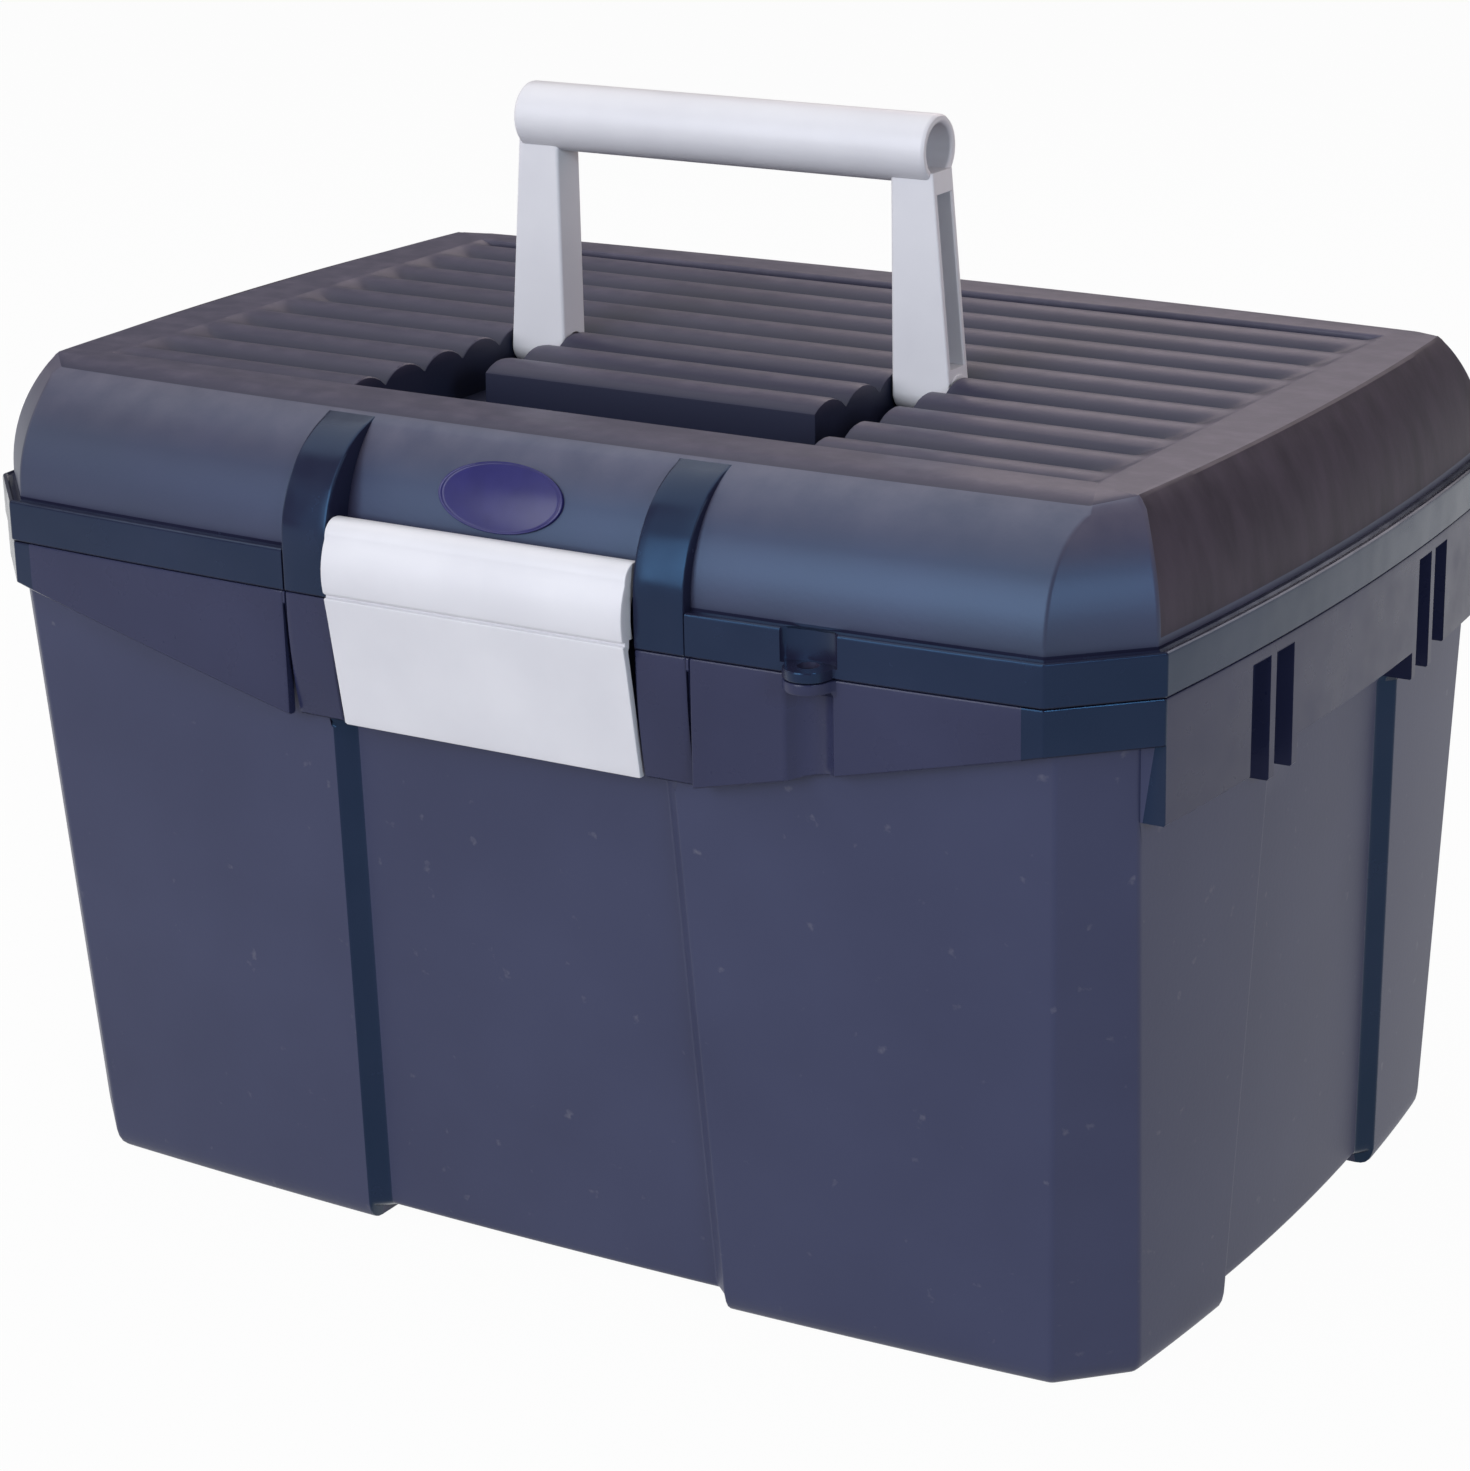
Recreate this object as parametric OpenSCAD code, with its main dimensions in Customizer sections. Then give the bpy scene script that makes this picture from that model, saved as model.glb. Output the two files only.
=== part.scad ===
// Grooming box: a moulded tub, a hinged domed lid with a folding carrying handle,
// a wide front latch and a lift-out tray. The front faces -Y and the feet stand on z = 0.

/* [Overall] */
// Width over the lip, at the middle of the sides
box_width = 400; // [340:1:480]
// Depth over the lip, at the middle of the front
box_depth = 290; // [270:1:350]
// Height of the parting line between tub and lid
parting_height = 203; // [185:1:245]
// Moulded wall thickness
wall = 2.5; // [2:0.1:3]
// Bulge of the front and the rear between their corners
front_bow = 5.4; // [4:0.1:7]
// Bulge of the sides between their corners
side_bow = 5.8; // [4:0.1:7]
// Gap between the closed lid and the rim of the tub
parting_gap = 0.3; // [0.3:0.05:0.6]

/* [Tub] */
// Distance of the tub wall behind the lip, at the rim
wall_setback = 5; // [4:0.5:7]
// How much each side wall leans in from rim to foot
side_taper = 6; // [3:0.5:10]
// How much the front and rear walls lean in from rim to foot
front_taper = 14; // [8:0.5:18]
// Chamfer across the corners of the tub
tub_chamfer = 18.2; // [14:0.1:22]
// Depth of the sunk panels in the middle of the four walls
panel_depth = 4.5; // [3:0.5:5]
// Half width of the front panel at the foot
front_panel_foot = 63; // [50:1:80]
// Half width of the front panel at the rim
front_panel_rim = 56; // [45:1:75]
// Half width of the side panel at the foot
side_panel_foot = 56; // [45:1:65]
// Half width of the side panel at the rim
side_panel_rim = 44; // [35:1:55]
// Height of the corner feet below the floor
foot_height = 3.5; // [2:0.5:6]

/* [Skirt] */
// Distance of the skirt behind the lip
skirt_inset = 0.4; // [0.2:0.1:1]
// Thickness of the skirt
skirt_wall = 2.2; // [1.8:0.1:2.6]
// Thickness of the rim flange over the skirt
flange = 3; // [2.5:0.5:4]
// Depth of the skirt at the corners
skirt_corner = 13; // [10:0.5:18]
// Depth of the skirt beside the latch
skirt_deep = 37; // [30:0.5:42]
// Depth of the side tabs
tab_depth = 35; // [28:0.5:40]
// Depth of the middle side panel of the skirt
mid_depth = 31; // [24:0.5:36]
// Depth of the side ribs
rib_depth = 39; // [34:0.5:44]
// Thickness of the side ribs
rib_wall = 3; // [2:0.5:4]
// Clear gap between side ribs
rib_gap = 11; // [8:0.5:13]
// Half length of the middle side panel
mid_half = 42; // [36:1:48]

/* [Lid] */
// Height of the lip
lip_height = 12.5; // [10:0.5:16]
// Chamfer across the corners of lip and skirt
lip_chamfer = 23.5; // [20:0.5:27]
// Radius of the dome at the front and rear
dome_radius = 35.3; // [33:0.1:42]
// How much of the dome the flat top cuts off
crown_cut = 0.3; // [0.2:0.1:1]
// Height of the upright foot of the dome above the lip
dome_foot = 1.5; // [0.5:0.5:3]
// Step from the lip in to the dome
dome_step = 3.5; // [2:0.5:5]
// Radius of the steeper sides of the dome
flank_radius = 57; // [50:1:70]
// Radius of the dome across the corners
corner_radius = 46; // [42:1:60]
// Width of the plain border from lip to ribs, at the front and rear
border_front = 49; // [48:0.5:54]
// Width of the plain border from lip to ribs, at the sides
border_side = 36; // [34:0.5:60]
// Number of ribs on the top
top_ribs = 10; // [8:1:12]
// Depth of the grooves between the ribs
groove_depth = 3.6; // [2.5:0.1:4.5]
// Depth of the flange that locates the lid in the tub
locating_depth = 5; // [3:0.5:7]
// Room between the locating flange and the tub
locating_gap = 0.8; // [0.6:0.1:1.5]

/* [Latch] */
// Half width of the bay between the two straps
bay_half = 50.6; // [44:0.2:56]
// Width of each strap
strap_width = 16; // [12:0.5:20]
// How far the lower half of a strap leans in
strap_lean = 3.5; // [2:0.5:6]
// Slit between the skirt and the lower half of a strap
strap_slit = 1; // [0.6:0.1:2]
// Setback of the badge panel behind the lip
bay_setback = 10; // [9:0.5:12]
// Room between latch and straps
latch_gap = 0.8; // [0.5:0.1:1.5]
// Height of the latch above the parting line
latch_rise = 23.5; // [22:0.5:28]
// Length of the latch below the parting line
latch_drop = 37.5; // [32:0.5:40]
// Radius of the round top of the latch
latch_barrel = 5.3; // [4.8:0.1:5.6]
// How far the latch stands out from the lip
latch_proud = 3.8; // [2:0.1:5]
// Thickness of the latch
latch_wall = 2.6; // [2:0.1:3]
// How much the lower half of the latch leans in
flap_lean = 6.6; // [4:0.1:8]
// Depth of the groove across the latch
latch_groove = 1; // [0.5:0.1:1.5]
// Radius of the latch pin
latch_pin_radius = 1.75; // [1.5:0.05:2.25]

/* [Handle] */
// Length of the grip
grip_length = 140; // [120:1:150]
// Radius of the grip
grip_radius = 10; // [8.5:0.25:10.5]
// Radius of the bore in each end of the grip
grip_bore = 7.2; // [5:0.1:7.5]
// Distance from the pivot to the middle of the grip
arm_length = 70.5; // [60:0.5:76]
// Depth of the legs, front to back
leg_depth = 12; // [10:0.5:14]
// Width of a leg at the pivot
leg_foot = 19.3; // [16:0.1:22]
// Width of a leg under the grip
leg_top = 13.3; // [12:0.1:16]
// Radius of the round foot of a leg
leg_barrel = 6; // [5.5:0.25:9]
// Radius of the handle pins
handle_pin_radius = 3; // [2.5:0.1:3.5]
// Depth of the handle trough
trough_depth = 16.5; // [16:0.5:19]
// Finger room before the folded grip
finger_front = 8.5; // [6:0.5:12]
// Finger room behind the folded grip
finger_rear = 11.5; // [6:0.5:14]
// Room between a leg and the walls of its slot
leg_gap = 0.8; // [0.5:0.1:1.5]

/* [Hinge and eye] */
// Distance of the hinge axis behind the rear lip
hinge_reach = 5.5; // [5:0.25:8]
// Radius of the hinge knuckles
knuckle_radius = 5; // [4:0.25:5]
// Length of each knuckle
knuckle_length = 14; // [10:0.5:18]
// Distance of each hinge from the middle
hinge_offset = 110; // [80:1:120]
// Radius of the hinge pins
hinge_pin_radius = 2; // [1.5:0.1:2.5]
// Running clearance round every pin, on the radius
pin_gap = 0.06; // [0.03:0.01:0.1]
// Gap between neighbouring knuckles
knuckle_gap = 0.4; // [0.3:0.05:0.8]
// Distance of the padlock eye from the middle
eye_offset = 104; // [90:1:115]
// Radius of the padlock eye
eye_radius = 3; // [2.5:0.1:3.5]
// Radius of the ears round the padlock eye
ear_radius = 7; // [6:0.25:8]
// Thickness of each ear
ear_height = 3; // [2.5:0.25:3.5]

/* [Badge] */
// Length of the oval badge
badge_length = 41; // [34:1:48]
// Height of the oval badge
badge_height = 20; // [16:1:21]
// Thickness of the badge
badge_wall = 1.4; // [1:0.1:2]
// Height of the middle of the badge over the top of the latch
badge_rise = 9; // [8:0.25:12]

/* [Tray] */
// Height of the tray
tray_height = 50; // [35:1:60]
// Room between the tray and the lid's locating flange
tray_gap = 1.6; // [1.2:0.1:3]
// How much each tray wall leans in from top to floor
tray_taper = 8; // [4:0.5:12]
// Thickness of the tray walls
tray_wall = 2; // [1.6:0.1:2.6]
// Length of the hand slot in the tray's carrying wall
hand_slot = 80; // [70:1:90]
// Room round the carrying wall where it slides into the tray
slide_gap = 0.2; // [0.1:0.05:0.4]
// Thickness of the support fins
fin_wall = 3; // [2:0.5:4]
// How far the support fins reach under the tray
fin_lap = 9; // [6:0.5:14]
// Room between the closed lid's flange and the tray
tray_headroom = 4; // [3:0.5:8]

/* [Hidden] */

$fn = 96;
bow_facets = 720;

// Depth by which a cutter or a joined piece runs past the face it meets
overlap = 1;
// Gap round a pin that is pressed into the lid
seat_gap = 0.02;

half_w = box_width / 2;
half_d = box_depth / 2;
lip_half = [half_w, half_d];
tub_rim = [half_w - wall_setback, half_d - wall_setback];
tub_foot = [tub_rim.x - side_taper, tub_rim.y - front_taper];

lid_low = parting_height + parting_gap;
lip_top = parting_height + lip_height;
shoulder = lip_height + dome_foot;
lid_top = parting_height + shoulder + dome_radius - crown_cut;
lid_inner_top = lid_top - groove_depth - wall;
corner_x = half_w - side_bow - lip_chamfer;
corner_y = half_d - front_bow - lip_chamfer;
front_radius = bow_radius(corner_x, front_bow);
side_radius = bow_radius(corner_y, side_bow);
front_axis = front_radius - half_d;

strap_outer = bay_half + strap_width;
strap_meets = 0.92 * dome_radius;
dome_inset_there = dome_step + quarter_inset(dome_radius, strap_meets);
strap_radius = arc_radius(strap_meets, dome_inset_there);
bay_radius = arc_radius(strap_meets, dome_inset_there - bay_setback);

field_x = half_w - border_side;
field_y = half_d - border_front;
rib_pitch = 2 * field_y / top_ribs;
rib_crest_drop = 0.3;
end_slope = 0.6;
rib_radius = arc_radius(rib_pitch / 2, groove_depth - rib_crest_drop);

trough_front = -field_y - 1;
trough_floor = lid_top - trough_depth;
grip_clear = 1;
pivot_z = trough_floor + grip_clear + grip_radius;
pivot_y = trough_front + finger_front + grip_radius + arm_length;
grip_z = pivot_z + arm_length;
trough_rear = trough_front + finger_front + 2 * grip_radius + finger_rear;
leg_step = 0.3;
leg_inner = grip_length / 2 + leg_step - leg_top;
leg_outer = leg_inner + leg_foot;
leg_rim = 2;
slot_inner = leg_inner - leg_gap;
slot_outer = leg_outer + leg_gap;
slot_rear = pivot_y + leg_barrel + leg_gap;

latch_half = bay_half - latch_gap;
latch_z = parting_height + latch_rise - latch_barrel;
barrel_gap = 0.6;
latch_y = bay_setback - half_d - latch_barrel - barrel_gap;
latch_front = -half_d - latch_proud;
latch_belly = parting_height + latch_rise / 3;
belly_radius = arc_radius(latch_z - latch_belly, latch_y - latch_barrel - latch_front);
groove_z = parting_height + 2;
groove_half = 0.4;

hinge_y = half_d + hinge_reach;
hinge_z = parting_height + parting_gap / 2;
hinge_length = 3 * knuckle_length + 2 * knuckle_gap;

eye_y = front_axis - sqrt(front_radius * front_radius - eye_offset * eye_offset);
notch_radius = ear_radius + 1.5;

catch_low = parting_height - 8;
catch_height = 3.5;
catch_reach = 4;
catch_half = 0.6 * bay_half;
hook_height = 4;
hook_gap = 1;
hook_clear = 0.4;
hook_half = 0.5 * bay_half;

locating_inset = wall + panel_depth + locating_gap;
tray_top = parting_height - locating_depth - tray_headroom;
tray_low = tray_top - tray_height;
tray_inset = locating_inset + skirt_wall + tray_gap;
tray_top_half = inset_by(tub_half(parting_height - locating_depth), tray_inset);
tray_low_half = inset_by(tray_top_half, tray_taper);
tray_floor = tray_low + tray_wall;

// Radius of the arc that bulges by bow over a chord of twice half
function bow_radius(half, bow) = (half * half + bow * bow) / (2 * bow);

// Radius of the arc that starts straight up and has come in by inset at height rise
function arc_radius(rise, inset) = (rise * rise + inset * inset) / (2 * inset);

// How far an arc that starts straight up has come in at height rise
function quarter_inset(radius, rise) = radius - sqrt(radius * radius - rise * rise);

// Distance of the corner chamfer from the middle axis
function corner_reach(half, chamfer) =
    (half.x - side_bow + half.y - front_bow - chamfer) / sqrt(2);

// Half sizes, less the same amount all round
function inset_by(half, amount) = [half.x - amount, half.y - amount];

// Half sizes of the tub's outside at height z
function tub_half(z) = tub_foot + (tub_rim - tub_foot) * z / parting_height;

// Whether the corner on this side and end of the box has a tab
function has_tab(side, end) = side + end > -2;

// Front of the tub's sunk panel at height z
function panel_front(z) = panel_depth - tub_half(z).y;

// A prism across two opposite corners, whose ends lean from low to high
module corner_prism(turn, low, high, height) {
    rotate([0, 0, turn])
        rotate([90, 0, 0])
            linear_extrude(4 * high, center = true)
                polygon([[-low, 0], [low, 0], [high, height], [-high, height]]);
}

// A block with bowed, leaning walls and chamfered corners
module bowed_block(low, high, z_low, z_high, chamfer) {
    height = z_high - z_low;
    front_r = bow_radius(low.x - side_bow - chamfer, front_bow);
    side_r = bow_radius(low.y - front_bow - chamfer, side_bow);
    front_lean = high.y - low.y;
    side_lean = high.x - low.x;
    reach_low = corner_reach(low, chamfer);
    reach_high = corner_reach(high, chamfer);
    translate([0, 0, z_low])
        intersection() {
            translate([0, front_r - low.y, 0])
                cylinder(h = height, r1 = front_r, r2 = front_r + front_lean, $fn = bow_facets);
            translate([0, low.y - front_r, 0])
                cylinder(h = height, r1 = front_r, r2 = front_r + front_lean, $fn = bow_facets);
            translate([side_r - low.x, 0, 0])
                cylinder(h = height, r1 = side_r, r2 = side_r + side_lean, $fn = bow_facets);
            translate([low.x - side_r, 0, 0])
                cylinder(h = height, r1 = side_r, r2 = side_r + side_lean, $fn = bow_facets);
            corner_prism(45, reach_low, reach_high, height);
            corner_prism(-45, reach_low, reach_high, height);
        }
}

// The outline of lip and skirt, straight up
module lip_block(inset, z_low, z_high) {
    half = inset_by(lip_half, inset);
    bowed_block(half, half, z_low, z_high, lip_chamfer);
}

// The tub's leaning block, set in from its outside by inset
module tub_block(inset, z_low, z_high) {
    low = inset_by(tub_half(z_low), inset);
    high = inset_by(tub_half(z_high), inset);
    bowed_block(low, high, z_low, z_high, tub_chamfer);
}

// Upright wedge zones over the four sunk panels, widened by grow
module panel_zones(grow) {
    rise = parting_height + overlap;
    rotate([90, 0, 0])
        linear_extrude(2 * box_depth, center = true)
            polygon([
                [-front_panel_foot - grow, -overlap], [front_panel_foot + grow, -overlap],
                [front_panel_rim + grow, rise], [-front_panel_rim - grow, rise]
            ]);
    rotate([90, 0, 90])
        linear_extrude(2 * box_width, center = true)
            polygon([
                [-side_panel_foot - grow, -overlap], [side_panel_foot + grow, -overlap],
                [side_panel_rim + grow, rise], [-side_panel_rim - grow, rise]
            ]);
}

// The tub with its sunk panels, set in by inset, from the feet or from the floor up
module tub_form(inset, z_low, panel_low) {
    difference() {
        tub_block(inset, z_low, parting_height);
        difference() {
            panel_zones(inset);
            tub_block(inset + panel_depth, panel_low, parting_height + overlap);
        }
    }
}

// Skirt outline kept on the front: deep beside the latch, shallow at the corners
module front_skirt_zone() {
    low = parting_height - skirt_corner;
    deep = parting_height - skirt_deep;
    linear_extrude(half_d - corner_y + overlap)
        polygon([
            [-half_w, low], [-corner_x, low], [-strap_outer, deep], [strap_outer, deep],
            [corner_x, low], [half_w, low], [half_w, parting_height], [-half_w, parting_height]
        ]);
}

// Skirt outline kept on the sides: tabs, which the front left corner lacks, and a middle panel
module side_skirt_zone() {
    tab_start = mid_half + 2 * (rib_wall + rib_gap);
    for (side = [-1, 1])
        for (end = [-1, 1]) {
            depth = has_tab(side, end) ? tab_depth : skirt_corner;
            scale([side, end, 1])
                translate([0, tab_start, parting_height - depth])
                    cube([half_w + overlap, corner_y - tab_start, depth]);
        }
    translate([-half_w - overlap, -mid_half, parting_height - mid_depth])
        cube([2 * half_w + 2 * overlap, 2 * mid_half, mid_depth]);
}

// Upright round below the padlock eye, from low up to the ear
module eye_flute(radius, low) {
    translate([eye_offset, eye_y - notch_radius / 2, low])
        cylinder(h = parting_height - ear_height - low, r = radius);
}

// Thin shell that hangs from the rim flange, hollowed by a flute under the padlock eye
module skirt() {
    skirt_low = parting_height - max(skirt_deep, tab_depth, mid_depth) - overlap;
    difference() {
        intersection() {
            difference() {
                union() {
                    difference() {
                        lip_block(skirt_inset, skirt_low, parting_height);
                        lip_block(skirt_inset + skirt_wall, skirt_low - overlap, parting_height - flange);
                    }
                    intersection() {
                        lip_block(skirt_inset, skirt_low, parting_height);
                        eye_flute(notch_radius + skirt_wall, skirt_low);
                    }
                }
                eye_flute(notch_radius, skirt_low - overlap);
            }
            union() {
                translate([0, -corner_y, 0])
                    rotate([90, 0, 0])
                        front_skirt_zone();
                translate([-half_w, corner_y, parting_height - skirt_corner])
                    cube([2 * half_w, half_d - corner_y + overlap, skirt_corner]);
                side_skirt_zone();
            }
        }
        translate([-strap_outer - strap_slit, -half_d - overlap, skirt_low - overlap])
            cube([2 * (strap_outer + strap_slit), half_d - corner_y, skirt_deep + overlap]);
    }
}

// One upright web from the skirt to the wall on the right, at y
module side_web(y, thickness, depth) {
    translate([0, y, parting_height - depth])
        cube([half_w + overlap, thickness, depth - overlap]);
}

// Ribs between the side tabs, and the closed ends of the tabs
module side_webs() {
    tab_start = mid_half + 2 * (rib_wall + rib_gap);
    skirt_low = parting_height - rib_depth - overlap;
    tab_slot = 2.4;
    slot_x = half_w - side_bow - skirt_wall - tab_slot;
    difference() {
        intersection() {
            lip_block(skirt_inset, skirt_low, parting_height - overlap);
            for (side = [-1, 1])
                for (end = [-1, 1])
                    scale([side, end, 1]) {
                        side_web(mid_half, rib_wall, rib_depth);
                        side_web(mid_half + rib_wall + rib_gap, rib_wall, rib_depth);
                        if (has_tab(side, end)) {
                            side_web(tab_start, skirt_wall, tab_depth);
                            side_web(corner_y - skirt_wall, skirt_wall, tab_depth);
                        }
                    }
        }
        for (side = [-1, 1])
            translate([side * slot_x, 0, parting_height - 0.6 * tab_depth])
                cube([tab_slot, box_depth, tab_depth / 2], center = true);
    }
}

// Section of a strap on the skirt in distance and height, from its leaning face in to depth
module strap_section(depth) {
    lean_start = parting_height - flange;
    lean_drop = skirt_deep - flange;
    lean_radius = arc_radius(lean_drop, strap_lean);
    reach = front_radius - skirt_inset - lean_radius;
    intersection() {
        translate([reach, lean_start])
            difference() {
                circle(lean_radius);
                circle(lean_radius - depth);
            }
        translate([reach, lean_start - lean_drop])
            square([lean_radius, lean_drop + flange / 6]);
    }
}

// Strap section swept along the bow of the front
module strap_sweep(depth) {
    translate([0, front_axis, 0])
        rotate_extrude($fn = bow_facets)
            strap_section(depth);
}

// The two straps carried on down the skirt as channels that open downwards
module skirt_straps() {
    intersection() {
        strap_sweep(skirt_wall);
        for (side = [-1, 1])
            translate([side * (bay_half + strap_width / 2), -half_d, parting_height / 2])
                cube([strap_width, half_d, parting_height * 2], center = true);
    }
    intersection() {
        strap_sweep(bay_setback + wall);
        for (side = [-1, 1])
            scale([side, 1, 1])
                for (x = [bay_half, strap_outer - skirt_wall])
                    translate([x, -1.5 * half_d, 0])
                        cube([skirt_wall, half_d, parting_height]);
    }
}

// Ears with the padlock eye, from z up
module ear(z) {
    difference() {
        translate([eye_offset, eye_y, z])
            cylinder(h = ear_height, r = ear_radius);
        translate([eye_offset, eye_y, z - overlap])
            cylinder(h = ear_height + 2 * overlap, r = eye_radius);
    }
}

// Straight bore for the padlock through whatever lies in its way
module eye_bore(z, height) {
    translate([eye_offset, eye_y, z])
        cylinder(h = height, r = eye_radius);
}

// One knuckle, centred at x, with an arm that reaches forward to the lip
module knuckle(x, z_low, z_high) {
    translate([x, hinge_y, hinge_z])
        rotate([0, 90, 0])
            cylinder(h = knuckle_length, r = knuckle_radius, center = true);
    arm = hinge_reach + front_bow + dome_step;
    translate([x - knuckle_length / 2, hinge_y - arm, z_low])
        cube([knuckle_length, arm, z_high - z_low]);
}

// Bore for one hinge pin
module hinge_bore(side) {
    translate([side * hinge_offset, hinge_y, hinge_z])
        rotate([0, 90, 0])
            cylinder(h = hinge_length + 2 * overlap, r = hinge_pin_radius + pin_gap, center = true);
}

// Fins inside the front and rear walls that carry the tray
module tray_fins() {
    fin_reach = tub_half(tray_low).y - tray_inset - fin_lap;
    intersection() {
        tub_block(wall / 2, foot_height + wall / 2, tray_low - parting_gap);
        for (x = [-hinge_offset, hinge_offset])
            difference() {
                translate([x - fin_wall / 2, -half_d, 0])
                    cube([fin_wall, box_depth, tray_low]);
                translate([x - fin_wall, -fin_reach, 0])
                    cube([2 * fin_wall, 2 * fin_reach, tray_low]);
            }
    }
}

// Catch under which the latch hooks
module catch() {
    back = panel_front(catch_low) + wall / 2;
    front = panel_front(catch_low) - catch_reach;
    translate([-catch_half, front, catch_low])
        cube([2 * catch_half, back - front, catch_height]);
}

// Tub: walls with sunk panels and feet, rim flange, skirt, catch and hinge knuckles
module tub() {
    step = knuckle_length + knuckle_gap;
    color("#363a58")
        difference() {
            union() {
                difference() {
                    union() {
                        tub_form(0, 0, foot_height);
                        difference() {
                            union() {
                                lip_block(skirt_inset, parting_height - flange, parting_height);
                                skirt();
                            }
                            translate([-bay_half, -half_d - overlap, parting_height - 2 * flange])
                                cube([2 * bay_half, half_d / 2, 3 * flange]);
                        }
                        side_webs();
                        skirt_straps();
                        ear(parting_height - ear_height);
                        for (side = [-1, 1])
                            for (end = [-1, 1])
                                knuckle(side * hinge_offset + end * step,
                                    parting_height - knuckle_radius, parting_height);
                    }
                    tub_form(wall, foot_height + wall, foot_height + wall);
                }
                catch();
                tray_fins();
            }
            eye_bore(parting_height - 2 * ear_height, 4 * ear_height);
            for (side = [-1, 1])
                hinge_bore(side);
        }
}

// Section of the dome in distance and height: straight up past the lip, then round
module dome_section(reach, radius, top) {
    square([reach, shoulder]);
    intersection() {
        translate([reach - radius, shoulder])
            circle(radius);
        translate([reach - radius, 0])
            square([radius, top]);
    }
    square([reach - radius + 0.01, top]);
}

// Solid behind a bowed front face that starts setback behind the lip
module front_form(setback, radius, top) {
    translate([0, front_axis, parting_height])
        rotate_extrude($fn = bow_facets)
            dome_section(front_radius - setback, radius, top);
}

// Solid inside a bowed right-hand face that starts setback behind the lip
module side_form(setback, radius, top) {
    translate([half_w - side_radius, 0, parting_height])
        rotate_extrude($fn = bow_facets)
            dome_section(side_radius - setback, radius, top);
}

// Rounded prism across two opposite corners of the dome
module dome_corner(turn, setback, radius, top) {
    reach = corner_reach(lip_half, lip_chamfer) - setback;
    translate([0, 0, parting_height])
        rotate([0, 0, turn])
            rotate([90, 0, 0])
                linear_extrude(2 * box_width, center = true)
                    union() {
                        dome_section(reach, radius, top);
                        mirror([1, 0])
                            dome_section(reach, radius, top);
                    }
}

// The dome, set in by inset from its outside
module dome_form(inset) {
    setback = dome_step + inset;
    top = shoulder + dome_radius - crown_cut - inset;
    radius = dome_radius - inset;
    intersection() {
        front_form(setback, radius, top);
        mirror([0, 1, 0])
            front_form(setback, radius, top);
        side_form(setback, flank_radius - inset, top);
        mirror([1, 0, 0])
            side_form(setback, flank_radius - inset, top);
        dome_corner(45, setback, corner_radius - inset, top);
        dome_corner(-45, setback, corner_radius - inset, top);
    }
}

// Room in front of the badge panel, out to half width half
module bay(half, setback) {
    difference() {
        translate([-half, -half_d - overlap, parting_height - overlap])
            cube([2 * half, half_d / 2, lid_top - parting_height + 2 * overlap]);
        front_form(setback, bay_radius, shoulder + bay_radius);
    }
}

// The two straps that run from the lip up over the dome
module lid_straps() {
    intersection() {
        front_form(0, strap_radius, shoulder + strap_meets);
        for (side = [-1, 1])
            translate([side * (bay_half + strap_width / 2) - strap_width / 2, -half_d - overlap, lid_low])
                cube([strap_width, half_d / 2, lid_top - lid_low]);
    }
}

// Trough for the folded handle, grown by grow on every wall
module trough(grow) {
    height = trough_depth + grow + overlap;
    translate([-slot_outer - grow, trough_front - grow, trough_floor - grow])
        cube([2 * (slot_outer + grow), trough_rear - trough_front + 2 * grow, height]);
    for (side = [-1, 1])
        scale([side, 1, 1])
            translate([slot_inner - grow, trough_front, trough_floor - grow])
                cube([slot_outer - slot_inner + 2 * grow, slot_rear - trough_front + grow, height]);
}

// What is cut away between the ribs of the top
module top_grooves() {
    depth = groove_depth + rib_crest_drop;
    difference() {
        translate([0, 0, lid_top - depth])
            rotate([90, 0, 0])
                linear_extrude(2 * field_y, center = true)
                    polygon([
                        [-field_x, 0], [field_x, 0],
                        [field_x + 2 * end_slope * depth, 2 * depth],
                        [-field_x - 2 * end_slope * depth, 2 * depth]
                    ]);
        for (i = [0 : top_ribs - 1])
            translate([0, (i + 0.5) * rib_pitch - field_y, lid_top - rib_crest_drop - rib_radius])
                rotate([0, 90, 0])
                    cylinder(h = 2 * box_width, r = rib_radius, center = true);
    }
}

// Flange under the lid that drops inside the tub
module locating_flange() {
    half = inset_by(tub_half(parting_height - locating_depth), locating_inset);
    difference() {
        bowed_block(half, half, parting_height - locating_depth, lid_low + wall, tub_chamfer);
        bowed_block(inset_by(half, skirt_wall), inset_by(half, skirt_wall),
            parting_height - locating_depth - overlap, lid_low + wall + overlap, tub_chamfer);
    }
    difference() {
        lip_block(dome_step + wall / 2, lid_low, lid_low + wall);
        bowed_block(inset_by(half, skirt_wall), inset_by(half, skirt_wall),
            lid_low - overlap, lid_low + wall + overlap, tub_chamfer);
    }
}

// Bore for a pin along X, from x_low to x_high
module pin_bore(x_low, x_high, y, z, radius) {
    translate([x_low, y, z])
        rotate([0, 90, 0])
            cylinder(h = x_high - x_low, r = radius);
}

// Pin along X, from x_low to x_high
module pin(x_low, x_high, y, z, radius) {
    color("#c9ccd2")
        pin_bore(x_low, x_high, y, z, radius);
}

// Outside of the lid: lip, dome and straps, with the padlock notch cut out
module lid_outside() {
    difference() {
        union() {
            lip_block(0, lid_low, lip_top);
            intersection() {
                dome_form(0);
                translate([-half_w, -half_d, lid_low])
                    cube([box_width, box_depth, lid_top]);
            }
            lid_straps();
        }
        difference() {
            translate([eye_offset, eye_y, lid_low + ear_height])
                cylinder(h = lip_height, r = notch_radius);
            dome_form(0);
        }
    }
}

// Inside of the lid, clear of the straps and of the badge panel
module lid_inside() {
    difference() {
        intersection() {
            dome_form(wall);
            translate([-half_w, -half_d, 0])
                cube([box_width, box_depth, lid_inner_top]);
        }
        bay(strap_outer + wall, bay_setback + wall);
    }
}

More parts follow.
